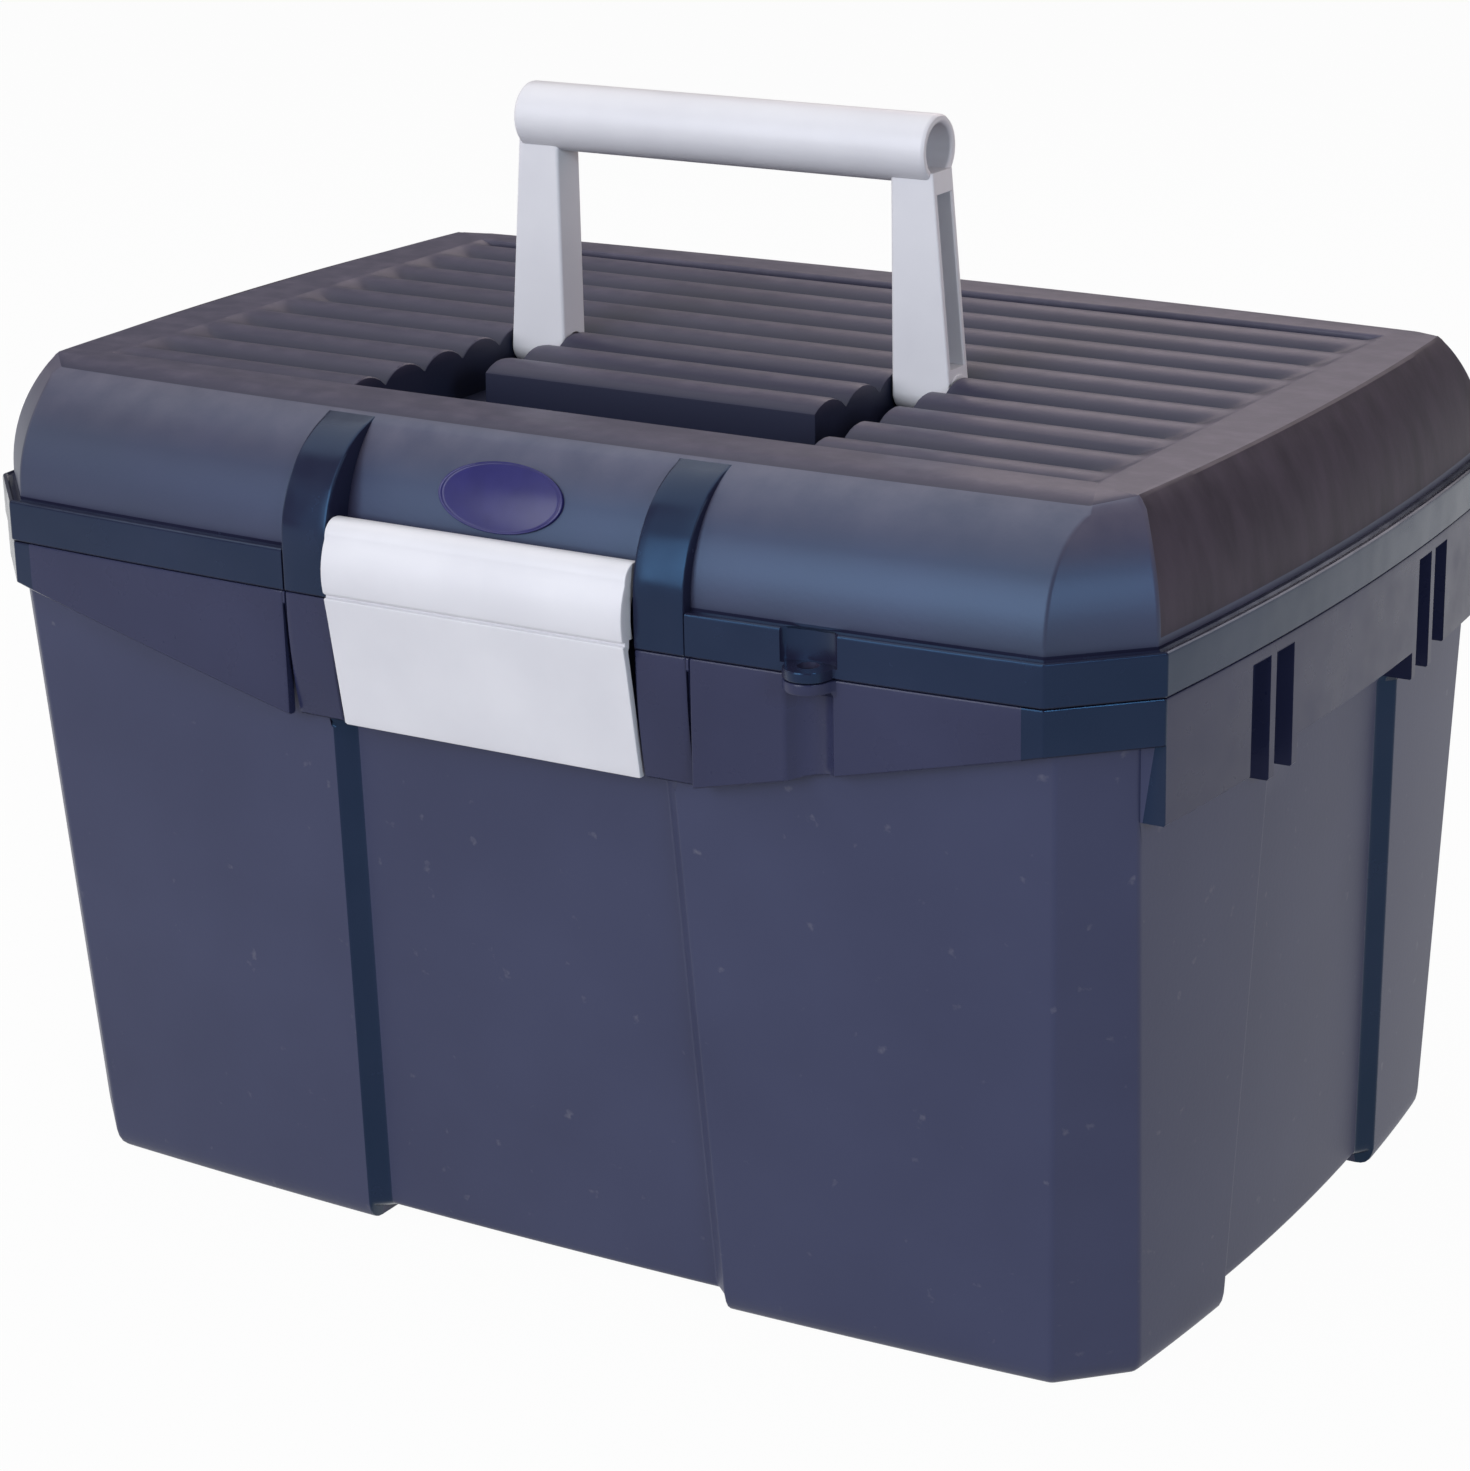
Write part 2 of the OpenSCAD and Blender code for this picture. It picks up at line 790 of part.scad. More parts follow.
// Lid: domed shell with ribbed top, handle trough, locating flange and hinge knuckles
module lid() {
    color("#3f4058")
        difference() {
            union() {
                difference() {
                    lid_outside();
                    lid_inside();
                }
                intersection() {
                    trough(wall);
                    translate([-half_w, -half_d, 0])
                        cube([box_width, box_depth, lid_top - groove_depth / 2]);
                }
                locating_flange();
                ear(lid_low);
                for (side = [-1, 1])
                    knuckle(side * hinge_offset, lid_low, lid_low + knuckle_radius);
            }
            bay(bay_half, bay_setback);
            trough(0);
            top_grooves();
            eye_bore(parting_height, 2 * ear_height);
            pin_bore(-strap_outer + wall, strap_outer - wall, latch_y, latch_z,
                latch_pin_radius + seat_gap);
            for (side = [-1, 1]) {
                hinge_bore(side);
                scale([side, 1, 1])
                    pin_bore(slot_inner - wall, slot_outer + wall, pivot_y, pivot_z,
                        handle_pin_radius + seat_gap);
            }
        }
}

// One leg of the handle, on the right: tapered, round at the foot, open channel outside
module leg() {
    outer_top = leg_inner + leg_top;
    difference() {
        union() {
            translate([0, pivot_y + leg_depth / 2, 0])
                rotate([90, 0, 0])
                    linear_extrude(leg_depth)
                        polygon([
                            [leg_inner, pivot_z], [leg_outer, pivot_z],
                            [outer_top, grip_z], [leg_inner, grip_z]
                        ]);
            pin_bore(leg_inner, leg_outer, pivot_y, pivot_z, leg_barrel);
        }
        translate([leg_inner + leg_rim, pivot_y - leg_depth / 2 + leg_rim, pivot_z + leg_barrel + leg_rim])
            cube([leg_foot, leg_depth - 2 * leg_rim, arm_length - leg_barrel - grip_radius - 2 * leg_rim]);
    }
}

// Handle: round grip, open at its ends, on two legs
module handle() {
    bore_depth = leg_top - leg_rim;
    color("#d9dae2")
        difference() {
            union() {
                pin_bore(-grip_length / 2, grip_length / 2, pivot_y, grip_z, grip_radius);
                for (side = [-1, 1])
                    scale([side, 1, 1])
                        leg();
            }
            for (side = [-1, 1])
                scale([side, 1, 1]) {
                    pin_bore(grip_length / 2 - bore_depth, grip_length, pivot_y, grip_z, grip_bore);
                    pin_bore(leg_inner - overlap, leg_outer + overlap, pivot_y, pivot_z,
                        handle_pin_radius + pin_gap);
                }
        }
}

module handle_pin_left() {
    pin(-slot_outer - wall, -slot_inner + wall, pivot_y, pivot_z, handle_pin_radius);
}

module handle_pin_right() {
    pin(slot_inner - wall, slot_outer + wall, pivot_y, pivot_z, handle_pin_radius);
}

// Section of the latch's bulging upper half in y and z
module belly_section(depth) {
    intersection() {
        translate([latch_front + belly_radius, latch_belly])
            difference() {
                circle(belly_radius);
                circle(belly_radius - depth);
            }
        translate([latch_front, groove_z + groove_half])
            square([belly_radius, latch_z - groove_z - groove_half]);
    }
}

// Section of the latch in y and z
module latch_section() {
    flap_top = groove_z - groove_half;
    flap_low = parting_height - latch_drop;
    flap_y = latch_front + quarter_inset(belly_radius, latch_belly - groove_z);
    neck = 1.6;
    translate([latch_y, latch_z])
        circle(latch_barrel);
    belly_section(latch_wall);
    translate([flap_y + latch_groove, groove_z - neck])
        square([latch_wall, 2 * neck]);
    polygon([
        [flap_y, flap_top], [flap_y + flap_lean, flap_low],
        [flap_y + flap_lean + latch_wall, flap_low], [flap_y + latch_wall, flap_top]
    ]);
}

// Hook bar behind the latch, under the catch
module latch_hook() {
    hook_tip = panel_front(catch_low) - catch_reach - hook_clear;
    hook_root = latch_front + flap_lean / 2 + overlap;
    translate([-hook_half, hook_root, catch_low - hook_gap - hook_height])
        cube([2 * hook_half, hook_tip - hook_root, hook_height]);
}

// Cheeks that close the ends of the latch towards the straps
module latch_cheeks() {
    cheek = 1.7;
    for (x = [-latch_half, latch_half - cheek])
        translate([x, 0, 0])
            rotate([90, 0, 90])
                linear_extrude(cheek)
                    belly_section(2 * latch_wall);
}

// Latch: round-topped plate that pivots on the lid and hooks under the catch
module latch() {
    color("#d9dae2")
        difference() {
            union() {
                translate([-latch_half, 0, 0])
                    rotate([90, 0, 90])
                        linear_extrude(2 * latch_half)
                            latch_section();
                latch_cheeks();
                latch_hook();
            }
            pin_bore(-bay_half, bay_half, latch_y, latch_z, latch_pin_radius + pin_gap);
        }
}

module latch_pin() {
    pin(-strap_outer + wall, strap_outer - wall, latch_y, latch_z, latch_pin_radius);
}

module hinge_pin_left() {
    pin(-hinge_offset - hinge_length / 2, -hinge_offset + hinge_length / 2,
        hinge_y, hinge_z, hinge_pin_radius);
}

module hinge_pin_right() {
    pin(hinge_offset - hinge_length / 2, hinge_offset + hinge_length / 2,
        hinge_y, hinge_z, hinge_pin_radius);
}

// Badge: bare oval that follows the curve of the panel between the straps
module badge() {
    tilt = asin((latch_rise + badge_rise - shoulder) / bay_radius);
    centre_y = bay_setback + bay_radius - half_d;
    color("#221f4f")
        intersection() {
            translate([0, centre_y, parting_height + shoulder])
                rotate([90 - tilt, 0, 0])
                    linear_extrude(2 * bay_radius)
                        scale([1, badge_height / badge_length])
                            circle(badge_length / 2);
            difference() {
                front_form(bay_setback - badge_wall, bay_radius + badge_wall,
                    shoulder + bay_radius);
                front_form(bay_setback, bay_radius, shoulder + bay_radius);
            }
        }
}

// Tray: shallow bin with cross walls that are slotted for the carrying wall
module tray() {
    cross_x = tray_low_half.x / 3;
    cross_drop = 3;
    slot_half = tray_wall / 2 + slide_gap;
    color("#d9dae2")
        difference() {
            bowed_block(tray_low_half, tray_top_half, tray_low, tray_top, tub_chamfer);
            difference() {
                bowed_block(inset_by(tray_low_half, tray_wall), inset_by(tray_top_half, tray_wall),
                    tray_floor, tray_top + overlap, tub_chamfer);
                for (x = [-cross_x, cross_x], way = [0, 1])
                    mirror([0, way, 0])
                        translate([x - tray_wall / 2, slot_half, 0])
                            cube([tray_wall, half_d, tray_top - cross_drop]);
            }
        }
}

// Carrying wall: plate that slides down between the cross walls of the tray, with a hand slot
module tray_carrier() {
    foot_x = tray_low_half.x - tray_wall - slide_gap;
    lean = tray_taper / (tray_top + overlap - tray_floor);
    top_x = foot_x + lean * (tray_top - tray_floor);
    slot_height = 0.4 * tray_height;
    slot_rim = 10;
    color("#d9dae2")
        translate([0, tray_wall / 2, 0])
            rotate([90, 0, 0])
                linear_extrude(tray_wall)
                    difference() {
                        polygon([[-foot_x, tray_floor], [foot_x, tray_floor],
                            [top_x, tray_top], [-top_x, tray_top]]);
                        translate([-hand_slot / 2, tray_top - slot_rim - slot_height])
                            square([hand_slot, slot_height]);
                    }
}

tub();
lid();
handle();
handle_pin_left();
handle_pin_right();
latch();
latch_pin();
hinge_pin_left();
hinge_pin_right();
badge();
tray();
tray_carrier();
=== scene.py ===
from math import asin, atan2, cos, hypot, pi, radians, sin, sqrt

import bmesh
import bpy
from mathutils import Matrix, Vector


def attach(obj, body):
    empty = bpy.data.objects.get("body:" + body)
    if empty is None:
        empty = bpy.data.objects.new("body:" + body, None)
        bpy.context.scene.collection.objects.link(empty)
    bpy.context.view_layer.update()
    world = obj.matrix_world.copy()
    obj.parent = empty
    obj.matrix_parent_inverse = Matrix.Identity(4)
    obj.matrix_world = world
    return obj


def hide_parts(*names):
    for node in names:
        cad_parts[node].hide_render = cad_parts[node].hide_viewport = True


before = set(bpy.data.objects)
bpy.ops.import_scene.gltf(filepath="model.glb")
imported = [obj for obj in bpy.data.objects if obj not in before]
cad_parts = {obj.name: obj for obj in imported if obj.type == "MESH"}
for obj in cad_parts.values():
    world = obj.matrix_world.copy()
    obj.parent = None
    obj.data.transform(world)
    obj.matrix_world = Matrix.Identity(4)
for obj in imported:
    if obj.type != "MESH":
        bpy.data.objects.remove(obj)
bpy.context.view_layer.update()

MM = 0.001
ROOT2 = sqrt(2)


# Finishes

def colour(hex_value):
    """An sRGB hex value as the linear colour that a shader takes."""
    parts = [int(hex_value[i:i + 2], 16) / 255 for i in (1, 3, 5)]
    return [p / 12.92 if p <= 0.04045 else ((p + 0.055) / 1.055) ** 2.4 for p in parts] + [1.0]


def join(material, node, values):
    """Sets a node's sockets: each takes a value, or what comes out of another node."""
    for socket, value in values.items():
        if isinstance(value, bpy.types.NodeSocket):
            material.node_tree.links.new(value, node.inputs[socket])
        else:
            node.inputs[socket].default_value = value


def add(material, kind, values, stops=(), **settings):
    """Adds a shader node and joins its sockets; stops are the places and colours along a ramp."""
    made = material.node_tree.nodes.new("ShaderNode" + kind)
    for name, value in settings.items():
        setattr(made, name, value)
    for k, (position, tint) in enumerate(stops):
        stop = made.color_ramp.elements[k] if k < 2 else made.color_ramp.elements.new(position)
        stop.position, stop.color = position, colour(tint)
    join(material, made, values)
    return made


def plain_material(name):
    """A new material with its shader, and the socket that gives a place on the piece in metres."""
    material = bpy.data.materials.new(name)
    material.use_nodes = True
    shader = material.node_tree.nodes["Principled BSDF"]
    shader.inputs["IOR"].default_value = 1.49
    return material, shader, add(material, "TexCoord", {}).outputs["Object"]


def cloudy(material, place, size, detail, stops):
    """A colour that drifts between tones over a size in millimetres."""
    cloud = add(material, "TexNoise", {"Vector": place, "Scale": 1 / (size * MM), "Detail": detail})
    return add(material, "ValToRGB", {"Fac": cloud.outputs["Fac"]}, stops).outputs["Color"]


def patchy(material, place, size, detail, start, end, low, high):
    """A value that is low outside and high inside patches of a size in millimetres."""
    marks = add(material, "TexNoise", {"Vector": place, "Scale": 1 / (size * MM), "Detail": detail})
    return add(material, "MapRange", {"Value": marks.outputs["Fac"], "From Min": start, "From Max": end,
        "To Min": low, "To Max": high}).outputs["Result"]


def uneven(material, place, size, detail, strength, depth):
    """The normal of a skin with bumps of a size and depth in millimetres."""
    bumps = add(material, "TexNoise", {"Vector": place, "Scale": 1 / (size * MM), "Detail": detail})
    return add(material, "Bump", {"Height": bumps.outputs["Fac"], "Strength": strength,
        "Distance": depth * MM}).outputs["Normal"]


def paled_by_wear_and_light(material, share, base, pale):
    """A colour made paler by a share: rubbed wear, and on the lid's upper dome also painted light."""
    return add(material, "Mix", {0: share, 6: base, 7: colour(pale)}, data_type="RGBA").outputs[2]


# The pebbles of a spark-eroded tool are 0.4 mm wide, too fine to show here, so they are drawn at 1.5 mm.
PEBBLE_SIZE, PEBBLE_DETAIL, PEBBLE_DEPTH = 1.5, 2.0, 0.09


def pebbled(material, place, strength=0.35):
    """The normal of a skin moulded in a spark-eroded tool."""
    return uneven(material, place, PEBBLE_SIZE, PEBBLE_DETAIL, strength, PEBBLE_DEPTH)


# Navy polypropylene moulded in a spark-eroded tool: a dull, finely pebbled skin that
# scatters the light, slightly cloudy in colour, with a few pale scuffs from use.
grained, shader, place = plain_material("navy_polypropylene_spark_grained")
tone = cloudy(grained, place, 60, 3.0, [(0.3, "#2a2f4d"), (0.75, "#323755")])
few = patchy(grained, place, 6, 5.0, 0.68, 0.78, 0.0, 0.4)
join(grained, shader, {"Base Color": paled_by_wear_and_light(grained, few, tone, "#77757f"), "Roughness": 0.46,
    "Normal": pebbled(grained, place), "Specular IOR Level": 0.4})

# The lid is moulded in a darker, greyer navy with a little pearl pigment: the grain is the same
# and its highlights turn blue. Towards the top it is painted paler and pinkish in patches: partly
# rubbed wear, partly painted light from above on the upward-turning round of the dome.
pearled, shader, place = plain_material("dark_navy_polypropylene_pearl_grained")
tone = cloudy(pearled, place, 60, 3.0, [(0.3, "#2c2737"), (0.75, "#342d43")])
height = add(pearled, "SeparateXYZ", {"Vector": place}).outputs["Z"]
# paler with height up the dome: painted light from above, in patches of rubbed wear
upper = add(pearled, "MapRange", {"Value": height, "From Min": 236 * MM, "From Max": 251 * MM})
patch = patchy(pearled, place, 11, 5.0, 0.3, 0.75, 0.4, 0.8)
both = add(pearled, "Math", {0: upper.outputs["Result"], 1: patch}, operation="MULTIPLY").outputs["Value"]
join(pearled, shader, {"Base Color": paled_by_wear_and_light(pearled, both, tone, "#665e69"), "Roughness": 0.44,
    "Normal": pebbled(pearled, place), "Specular IOR Level": 0.95, "Specular Tint": colour("#9cc6ee")})

# The same grained polypropylene on the ribs, painted by height: the grooves are dark as painted
# shade, the crests lighter as painted light, and hands and brushes have rubbed the crests pale
# and smooth in patches.
worn_ribs_and_painted_shade, shader, place = plain_material("navy_polypropylene_ribs_worn_with_painted_shade")
height = add(worn_ribs_and_painted_shade, "SeparateXYZ", {"Vector": place}).outputs["Z"]
# painted shade and light by height: dark in the grooves, lighter towards the crests
level = add(worn_ribs_and_painted_shade, "MapRange", {"Value": height, "From Min": 247.7 * MM, "From Max": 251.9 * MM})
tone = add(worn_ribs_and_painted_shade, "ValToRGB", {"Fac": level.outputs["Result"]},
    [(0.1, "#222539"), (0.55, "#2e2d40"), (0.95, "#413e50")]).outputs["Color"]
crest = add(worn_ribs_and_painted_shade, "MapRange", {"Value": height, "From Min": 250.6 * MM, "From Max": 251.8 * MM})
streaks = add(worn_ribs_and_painted_shade, "Mapping", {"Vector": place, "Scale": (0.7, 1.0, 1.0)}).outputs["Vector"]
patch = patchy(worn_ribs_and_painted_shade, streaks, 5, 6.0, 0.4, 0.75, 0.0, 0.4)
both = add(worn_ribs_and_painted_shade, "Math", {0: crest.outputs["Result"], 1: patch}, operation="MULTIPLY").outputs["Value"]
join(worn_ribs_and_painted_shade, shader, {"Base Color": paled_by_wear_and_light(worn_ribs_and_painted_shade, both, tone, "#676070"), "Roughness": 0.42,
    "Normal": pebbled(worn_ribs_and_painted_shade, place, 0.3), "Specular IOR Level": 0.3})

# The flanks of the lid, dulled by years of carrying: the pearl is gone, and faint upright
# scuffs make the skin matt and a little reddish.
dulled, shader, place = plain_material("dark_navy_polypropylene_dulled_by_rubbing")
upright = add(dulled, "Mapping", {"Vector": place, "Scale": (1.0, 1.0, 0.25)}).outputs["Vector"]
tone = cloudy(dulled, upright, 9, 5.0, [(0.3, "#2c2632"), (0.75, "#403845")])
join(dulled, shader, {"Base Color": tone, "Normal": pebbled(dulled, place), "Roughness": 0.55,
    "Specular IOR Level": 0.25})

# Navy polypropylene moulded in a polished tool: a glossy face, never quite flat, so that
# the slow waves of shrinkage break reflections into blotches.
# On the tub its darker colour also paints the shade on one stepped edge of each sunk panel and on the skirt's
# cut corners.
polished_navy_and_painted_shade, shader, place = plain_material("navy_polypropylene_polished_and_painted_shade")
tone = cloudy(polished_navy_and_painted_shade, place, 45, 2.0, [(0.3, "#1c1c2f"), (0.75, "#252539")])
haze = patchy(polished_navy_and_painted_shade, place, 12, 5.0, 0.3, 0.75, 0.16, 0.3)
join(polished_navy_and_painted_shade, shader, {"Base Color": tone, "Normal": uneven(polished_navy_and_painted_shade, place, 16, 1.0, 0.5, 0.5),
    "Roughness": haze, "Specular IOR Level": 0.5, "Specular Tint": colour("#70b4ea")})

# The tub's navy where the tool is smooth, on skirt and tabs: even and satin, with slow waves
# of shrinkage and a few rubbed patches.
smooth, shader, place = plain_material("navy_polypropylene_smooth_moulded")
tone = cloudy(smooth, place, 45, 2.0, [(0.3, "#2a2d48"), (0.75, "#30334f")])
haze = patchy(smooth, place, 12, 5.0, 0.3, 0.75, 0.24, 0.38)
join(smooth, shader, {"Base Color": tone, "Normal": uneven(smooth, place, 22, 1.0, 0.5, 0.3),
    "Roughness": haze, "Specular IOR Level": 0.25})

# Light grey polypropylene, moulded smooth and satin: soft broad highlights, with
# faint flow clouds and a little grime.
light_grey, shader, place = plain_material("light_grey_polypropylene_satin")
tone = cloudy(light_grey, place, 35, 4.0, [(0.25, "#d2d0d4"), (0.7, "#dcdadd")])
haze = patchy(light_grey, place, 14, 4.0, 0.3, 0.75, 0.3, 0.42)
join(light_grey, shader, {"Base Color": tone, "Normal": uneven(light_grey, place, 2.2, 2.0, 0.2, 0.04),
    "Roughness": haze})

# Badge of moulded polypropylene under clear lacquer: deeper and bluer than the box,
# with a hard gloss and a slight orange peel.
lacquered, shader, place = plain_material("navy_polypropylene_lacquered_badge")
tone = cloudy(lacquered, place, 12, 3.0, [(0.3, "#242258"), (0.7, "#2c2a64")])
join(lacquered, shader, {"Base Color": tone, "Normal": uneven(lacquered, place, 2.5, 1.0, 0.15, 0.05),
    "Roughness": 0.26, "Specular IOR Level": 0.35})

# Mild steel rod, drawn to size and zinc plated: bright grey, with fine lines along its length.
drawn_steel, shader, place = plain_material("steel_rod_drawn_zinc_plated")
lengthwise = add(drawn_steel, "Mapping", {"Vector": place, "Scale": (0.02, 1.0, 1.0)}).outputs["Vector"]
tone = cloudy(drawn_steel, lengthwise, 0.5, 3.0, [(0.3, "#8f9297"), (0.7, "#b9bcc0")])
join(drawn_steel, shader, {"Base Color": tone, "Metallic": 1.0, "Roughness": 0.32})


# Shells

CORNER_STEPS = 4
CORNER_POINTS = 2 * CORNER_STEPS + 2
CREASE = 33


def arc_radius(chord, rise):
    """Radius of an arc that has risen this far where half its chord ends."""
    return (chord * chord + rise * rise) / (2 * rise)


def arc_inset(radius, rise):
    """How far a quarter round has gone in when it has risen this far."""
    return radius - sqrt(max(radius * radius - rise * rise, 0.0))


class Outline:
    """A rectangle with bowed sides and cut corners, in millimetres from the middle of the box."""

    def __init__(self, half_x, half_y, cut, front_bow=5.4, side_bow=5.8):
        self.front_r = arc_radius(half_x - side_bow - cut, front_bow)
        self.side_r = arc_radius(half_y - front_bow - cut, side_bow)
        self.front_c = self.front_r - half_y
        self.side_c = self.side_r - half_x
        self.reach = (half_x - side_bow + half_y - front_bow - cut) / ROOT2

    def front(self, x, inset=0.0):
        return sqrt((self.front_r - inset) ** 2 - x * x) - self.front_c

    def side(self, y, inset=0.0):
        return sqrt((self.side_r - inset) ** 2 - y * y) - self.side_c

    def corner(self, front_in, side_in, corner_in, rounding):
        """Points round one corner from front to side: a rounding, the cut, and a rounding."""
        front_r = self.front_r - front_in - rounding
        side_r = self.side_r - side_in - rounding
        cut = ROOT2 * (self.reach - corner_in - rounding)
        y = 0.0
        for _ in range(12):
            x = sqrt(side_r ** 2 - y * y) - self.side_c
            y = sqrt(front_r ** 2 - x * x) - self.front_c
        near_front = near_side = (x, y)
        if x + y > cut:
            for _ in range(12):
                x = cut - sqrt(front_r ** 2 - x * x) + self.front_c
                y = cut - sqrt(side_r ** 2 - y * y) + self.side_c
            near_front, near_side = (x, cut - x), (cut - y, y)
        start = atan2(near_front[1] + self.front_c, near_front[0])
        end = atan2(near_side[1], near_side[0] + self.side_c)
        points = []
        for (px, py), t0, t1 in ((near_front, start, pi / 4), (near_side, pi / 4, end)):
            for k in range(CORNER_STEPS + 1):
                t = t0 + (t1 - t0) * k / CORNER_STEPS
                points.append((px + rounding * cos(t), py + rounding * sin(t)))
        return points


def mirrored(half):
    """Stations on both sides of the middle, from those on one side."""
    return [(-s[0],) + tuple(s[1:]) for s in reversed(half) if s[0] > 0] + [tuple(s) for s in half]


def ring(across, along, corner, z, front, side, rear, left=None):
    """One level of a shell, all the way round, from the left end of the front.

    front, side, rear and left give the distance from the middle and the height at a station.
    """
    def rim(stations, give):
        return [(s[0],) + tuple(give(s)) for s in stations]
    points = [(x, -d, h) for x, d, h in rim(across, front)]
    points += [(x, -y, z) for x, y in corner]
    points += [(d, y, h) for y, d, h in rim(along, side)]
    points += [(x, y, z) for x, y in reversed(corner)]
    points += [(x, d, h) for x, d, h in reversed(rim(across, rear))]
    points += [(-x, y, z) for x, y in corner]
    points += [(-d, y, h) for y, d, h in reversed(rim(along, left or side))]
    points += [(-x, -y, z) for x, y in reversed(corner)]
    return points


def even_ring(outline, across, along, z, insets, rounding, front=None):
    """One level that keeps in from an outline by insets at front, side and cut corner.

    front gives a front of its own.
    """
    front_in, side_in, cut_in = insets

    def plain(s):
        return outline.front(s[0], front_in), z
    return ring(across, along, outline.corner(front_in, side_in, cut_in, rounding), z, front or plain,
        lambda s: (outline.side(s[0], side_in), z), plain)


def shrunk(section, amount):
    """A closed section with every edge moved in."""
    area = sum(a[0] * b[1] - b[0] * a[1] for a, b in zip(section, section[1:] + section[:1]))
    turn = 1 if area > 0 else -1
    out = []
    for before, here, after in zip(section[-1:] + section[:-1], section, section[1:] + section[:1]):
        ax, ay = here[0] - before[0], here[1] - before[1]
        bx, by = after[0] - here[0], after[1] - here[1]
        la, lb = hypot(ax, ay) or 1, hypot(bx, by) or 1
        nx, ny = -ay / la - by / lb, ax / la + bx / lb
        size = max((nx * nx + ny * ny) / 2, 0.3)
        out.append((here[0] + turn * amount * nx / size, here[1] + turn * amount * ny / size))
    return out


class Skin:
    """The points and faces of one moulding, in millimetres, with a finish for each face."""

    def __init__(self):
        self.points, self.faces, self.kinds = [], [], []

    def put(self, points):
        """Adds points, and gives their numbers."""
        first = len(self.points)
        self.points += points
        return list(range(first, len(self.points)))

    def face(self, corners, kind):
        self.faces.append(tuple(corners))
        self.kinds.append(kind)

    def levels(self, rings, kind):
        """Joins closed rings of points in turn, and gives the first and the last one.

        kind is a finish, or gives the finish of the face at a row and a place round it.
        """
        loops = [self.put(r) for r in rings]
        for k, (low, high) in enumerate(zip(loops, loops[1:])):
            for i in range(len(low)):
                j = (i + 1) % len(low)
                self.face((low[i], low[j], high[j], high[i]), kind(k, i) if callable(kind) else kind)
        return loops[0], loops[-1]

    def stack(self, rings, kind):
        """A solid of closed rings with both ends filled."""
        first, last = self.levels(rings, kind)
        self.face(reversed(first), kind)
        self.face(last, kind)

    def bar(self, section, x_low, x_high, kind, ease=0.6):
        """A bar along X of a (y, z) section, with eased ends."""
        stops = [(x_low, ease), (x_low + 0.3 * ease, 0.3 * ease), (x_low + ease, 0.0),
            (x_high - ease, 0.0), (x_high - 0.3 * ease, 0.3 * ease), (x_high, ease)]
        self.stack([[(x, y, z) for y, z in shrunk(section, inset)] for x, inset in stops], kind)

    def turned(self, profile, y, z, kind, steps=48):
        """A turned form about a line along X, from (x, radius) points; its ends lie on the line."""
        ends = [self.put([(profile[i][0], y, z)])[0] for i in (0, -1)]
        rings = [[(x, y + r * cos(2 * pi * k / steps), z + r * sin(2 * pi * k / steps)) for k in range(steps)]
            for x, r in profile[1:-1]]
        first, last = self.levels(rings, kind)
        for i in range(steps):
            j = (i + 1) % steps
            self.face((ends[0], first[j], first[i]), kind)
            self.face((ends[1], last[i], last[j]), kind)

    def cap(self, loop, xs, ys, height, kind):
        """Fills a ring with a grid of points: height gives z at a place."""
        nx, ny, nc = len(xs), len(ys), CORNER_POINTS
        grid = [self.put([(x, y, height(x, y)) for y in ys]) for x in xs]
        right, rear, left = nx + nc, nx + ny + 2 * nc, 2 * nx + ny + 3 * nc
        for i in range(nx - 1):
            for j in range(ny - 1):
                self.face((grid[i][j], grid[i + 1][j], grid[i + 1][j + 1], grid[i][j + 1]), kind)
            self.face((loop[i], loop[i + 1], grid[i + 1][0], grid[i][0]), kind)
            self.face((loop[rear + i], loop[rear + i + 1], grid[nx - 2 - i][-1], grid[nx - 1 - i][-1]), kind)
        for j in range(ny - 1):
            self.face((loop[right + j], loop[right + j + 1], grid[-1][j + 1], grid[-1][j]), kind)
            self.face((loop[left + j], loop[left + j + 1], grid[0][ny - 2 - j], grid[0][ny - 1 - j]), kind)
        for start, hub in ((nx - 1, grid[-1][0]), (right + ny - 1, grid[-1][-1]),
                (rear + nx - 1, grid[0][-1]), (left + ny - 1, grid[0][0])):
            for k in range(nc + 1):
                self.face((loop[start + k], loop[(start + k + 1) % len(loop)], hub), kind)


def placed(name, data):
    """An object of some data, put into the scene."""
    made = bpy.data.objects.new(name, data)
    bpy.context.scene.collection.objects.link(made)
    return made


def mesh_of(name, skin, finishes):
    """A mesh of a skin, in metres, with all its faces turned outwards."""
    mesh = bpy.data.meshes.new(name)
    mesh.from_pydata([(x * MM, y * MM, z * MM) for x, y, z in skin.points], [], skin.faces)
    for finish in finishes:
        mesh.materials.append(finish)
    mesh.polygons.foreach_set("material_index", skin.kinds)
    work = bmesh.new()
    work.from_mesh(mesh)
    bmesh.ops.recalc_face_normals(work, faces=work.faces)
    work.to_mesh(mesh)
    work.free()
    return mesh


def soften(mesh, crease):
    """Smooth shading, with edges sharper than crease degrees kept."""
    mesh.shade_smooth()
    mesh.set_sharp_from_angle(angle=radians(crease))


def moulding(name, skin, finishes, body, node, crease=CREASE):
    """Makes a piece of a skin, and lets it ride on its body in place of its CAD node."""
    piece = placed(name, mesh_of(name, skin, finishes))
    soften(piece.data, crease)
    flats = piece.modifiers.new("flats", "WEIGHTED_NORMAL")
    flats.keep_sharp, flats.weight = True, 60
    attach(piece, body)
    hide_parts(node)
    return piece


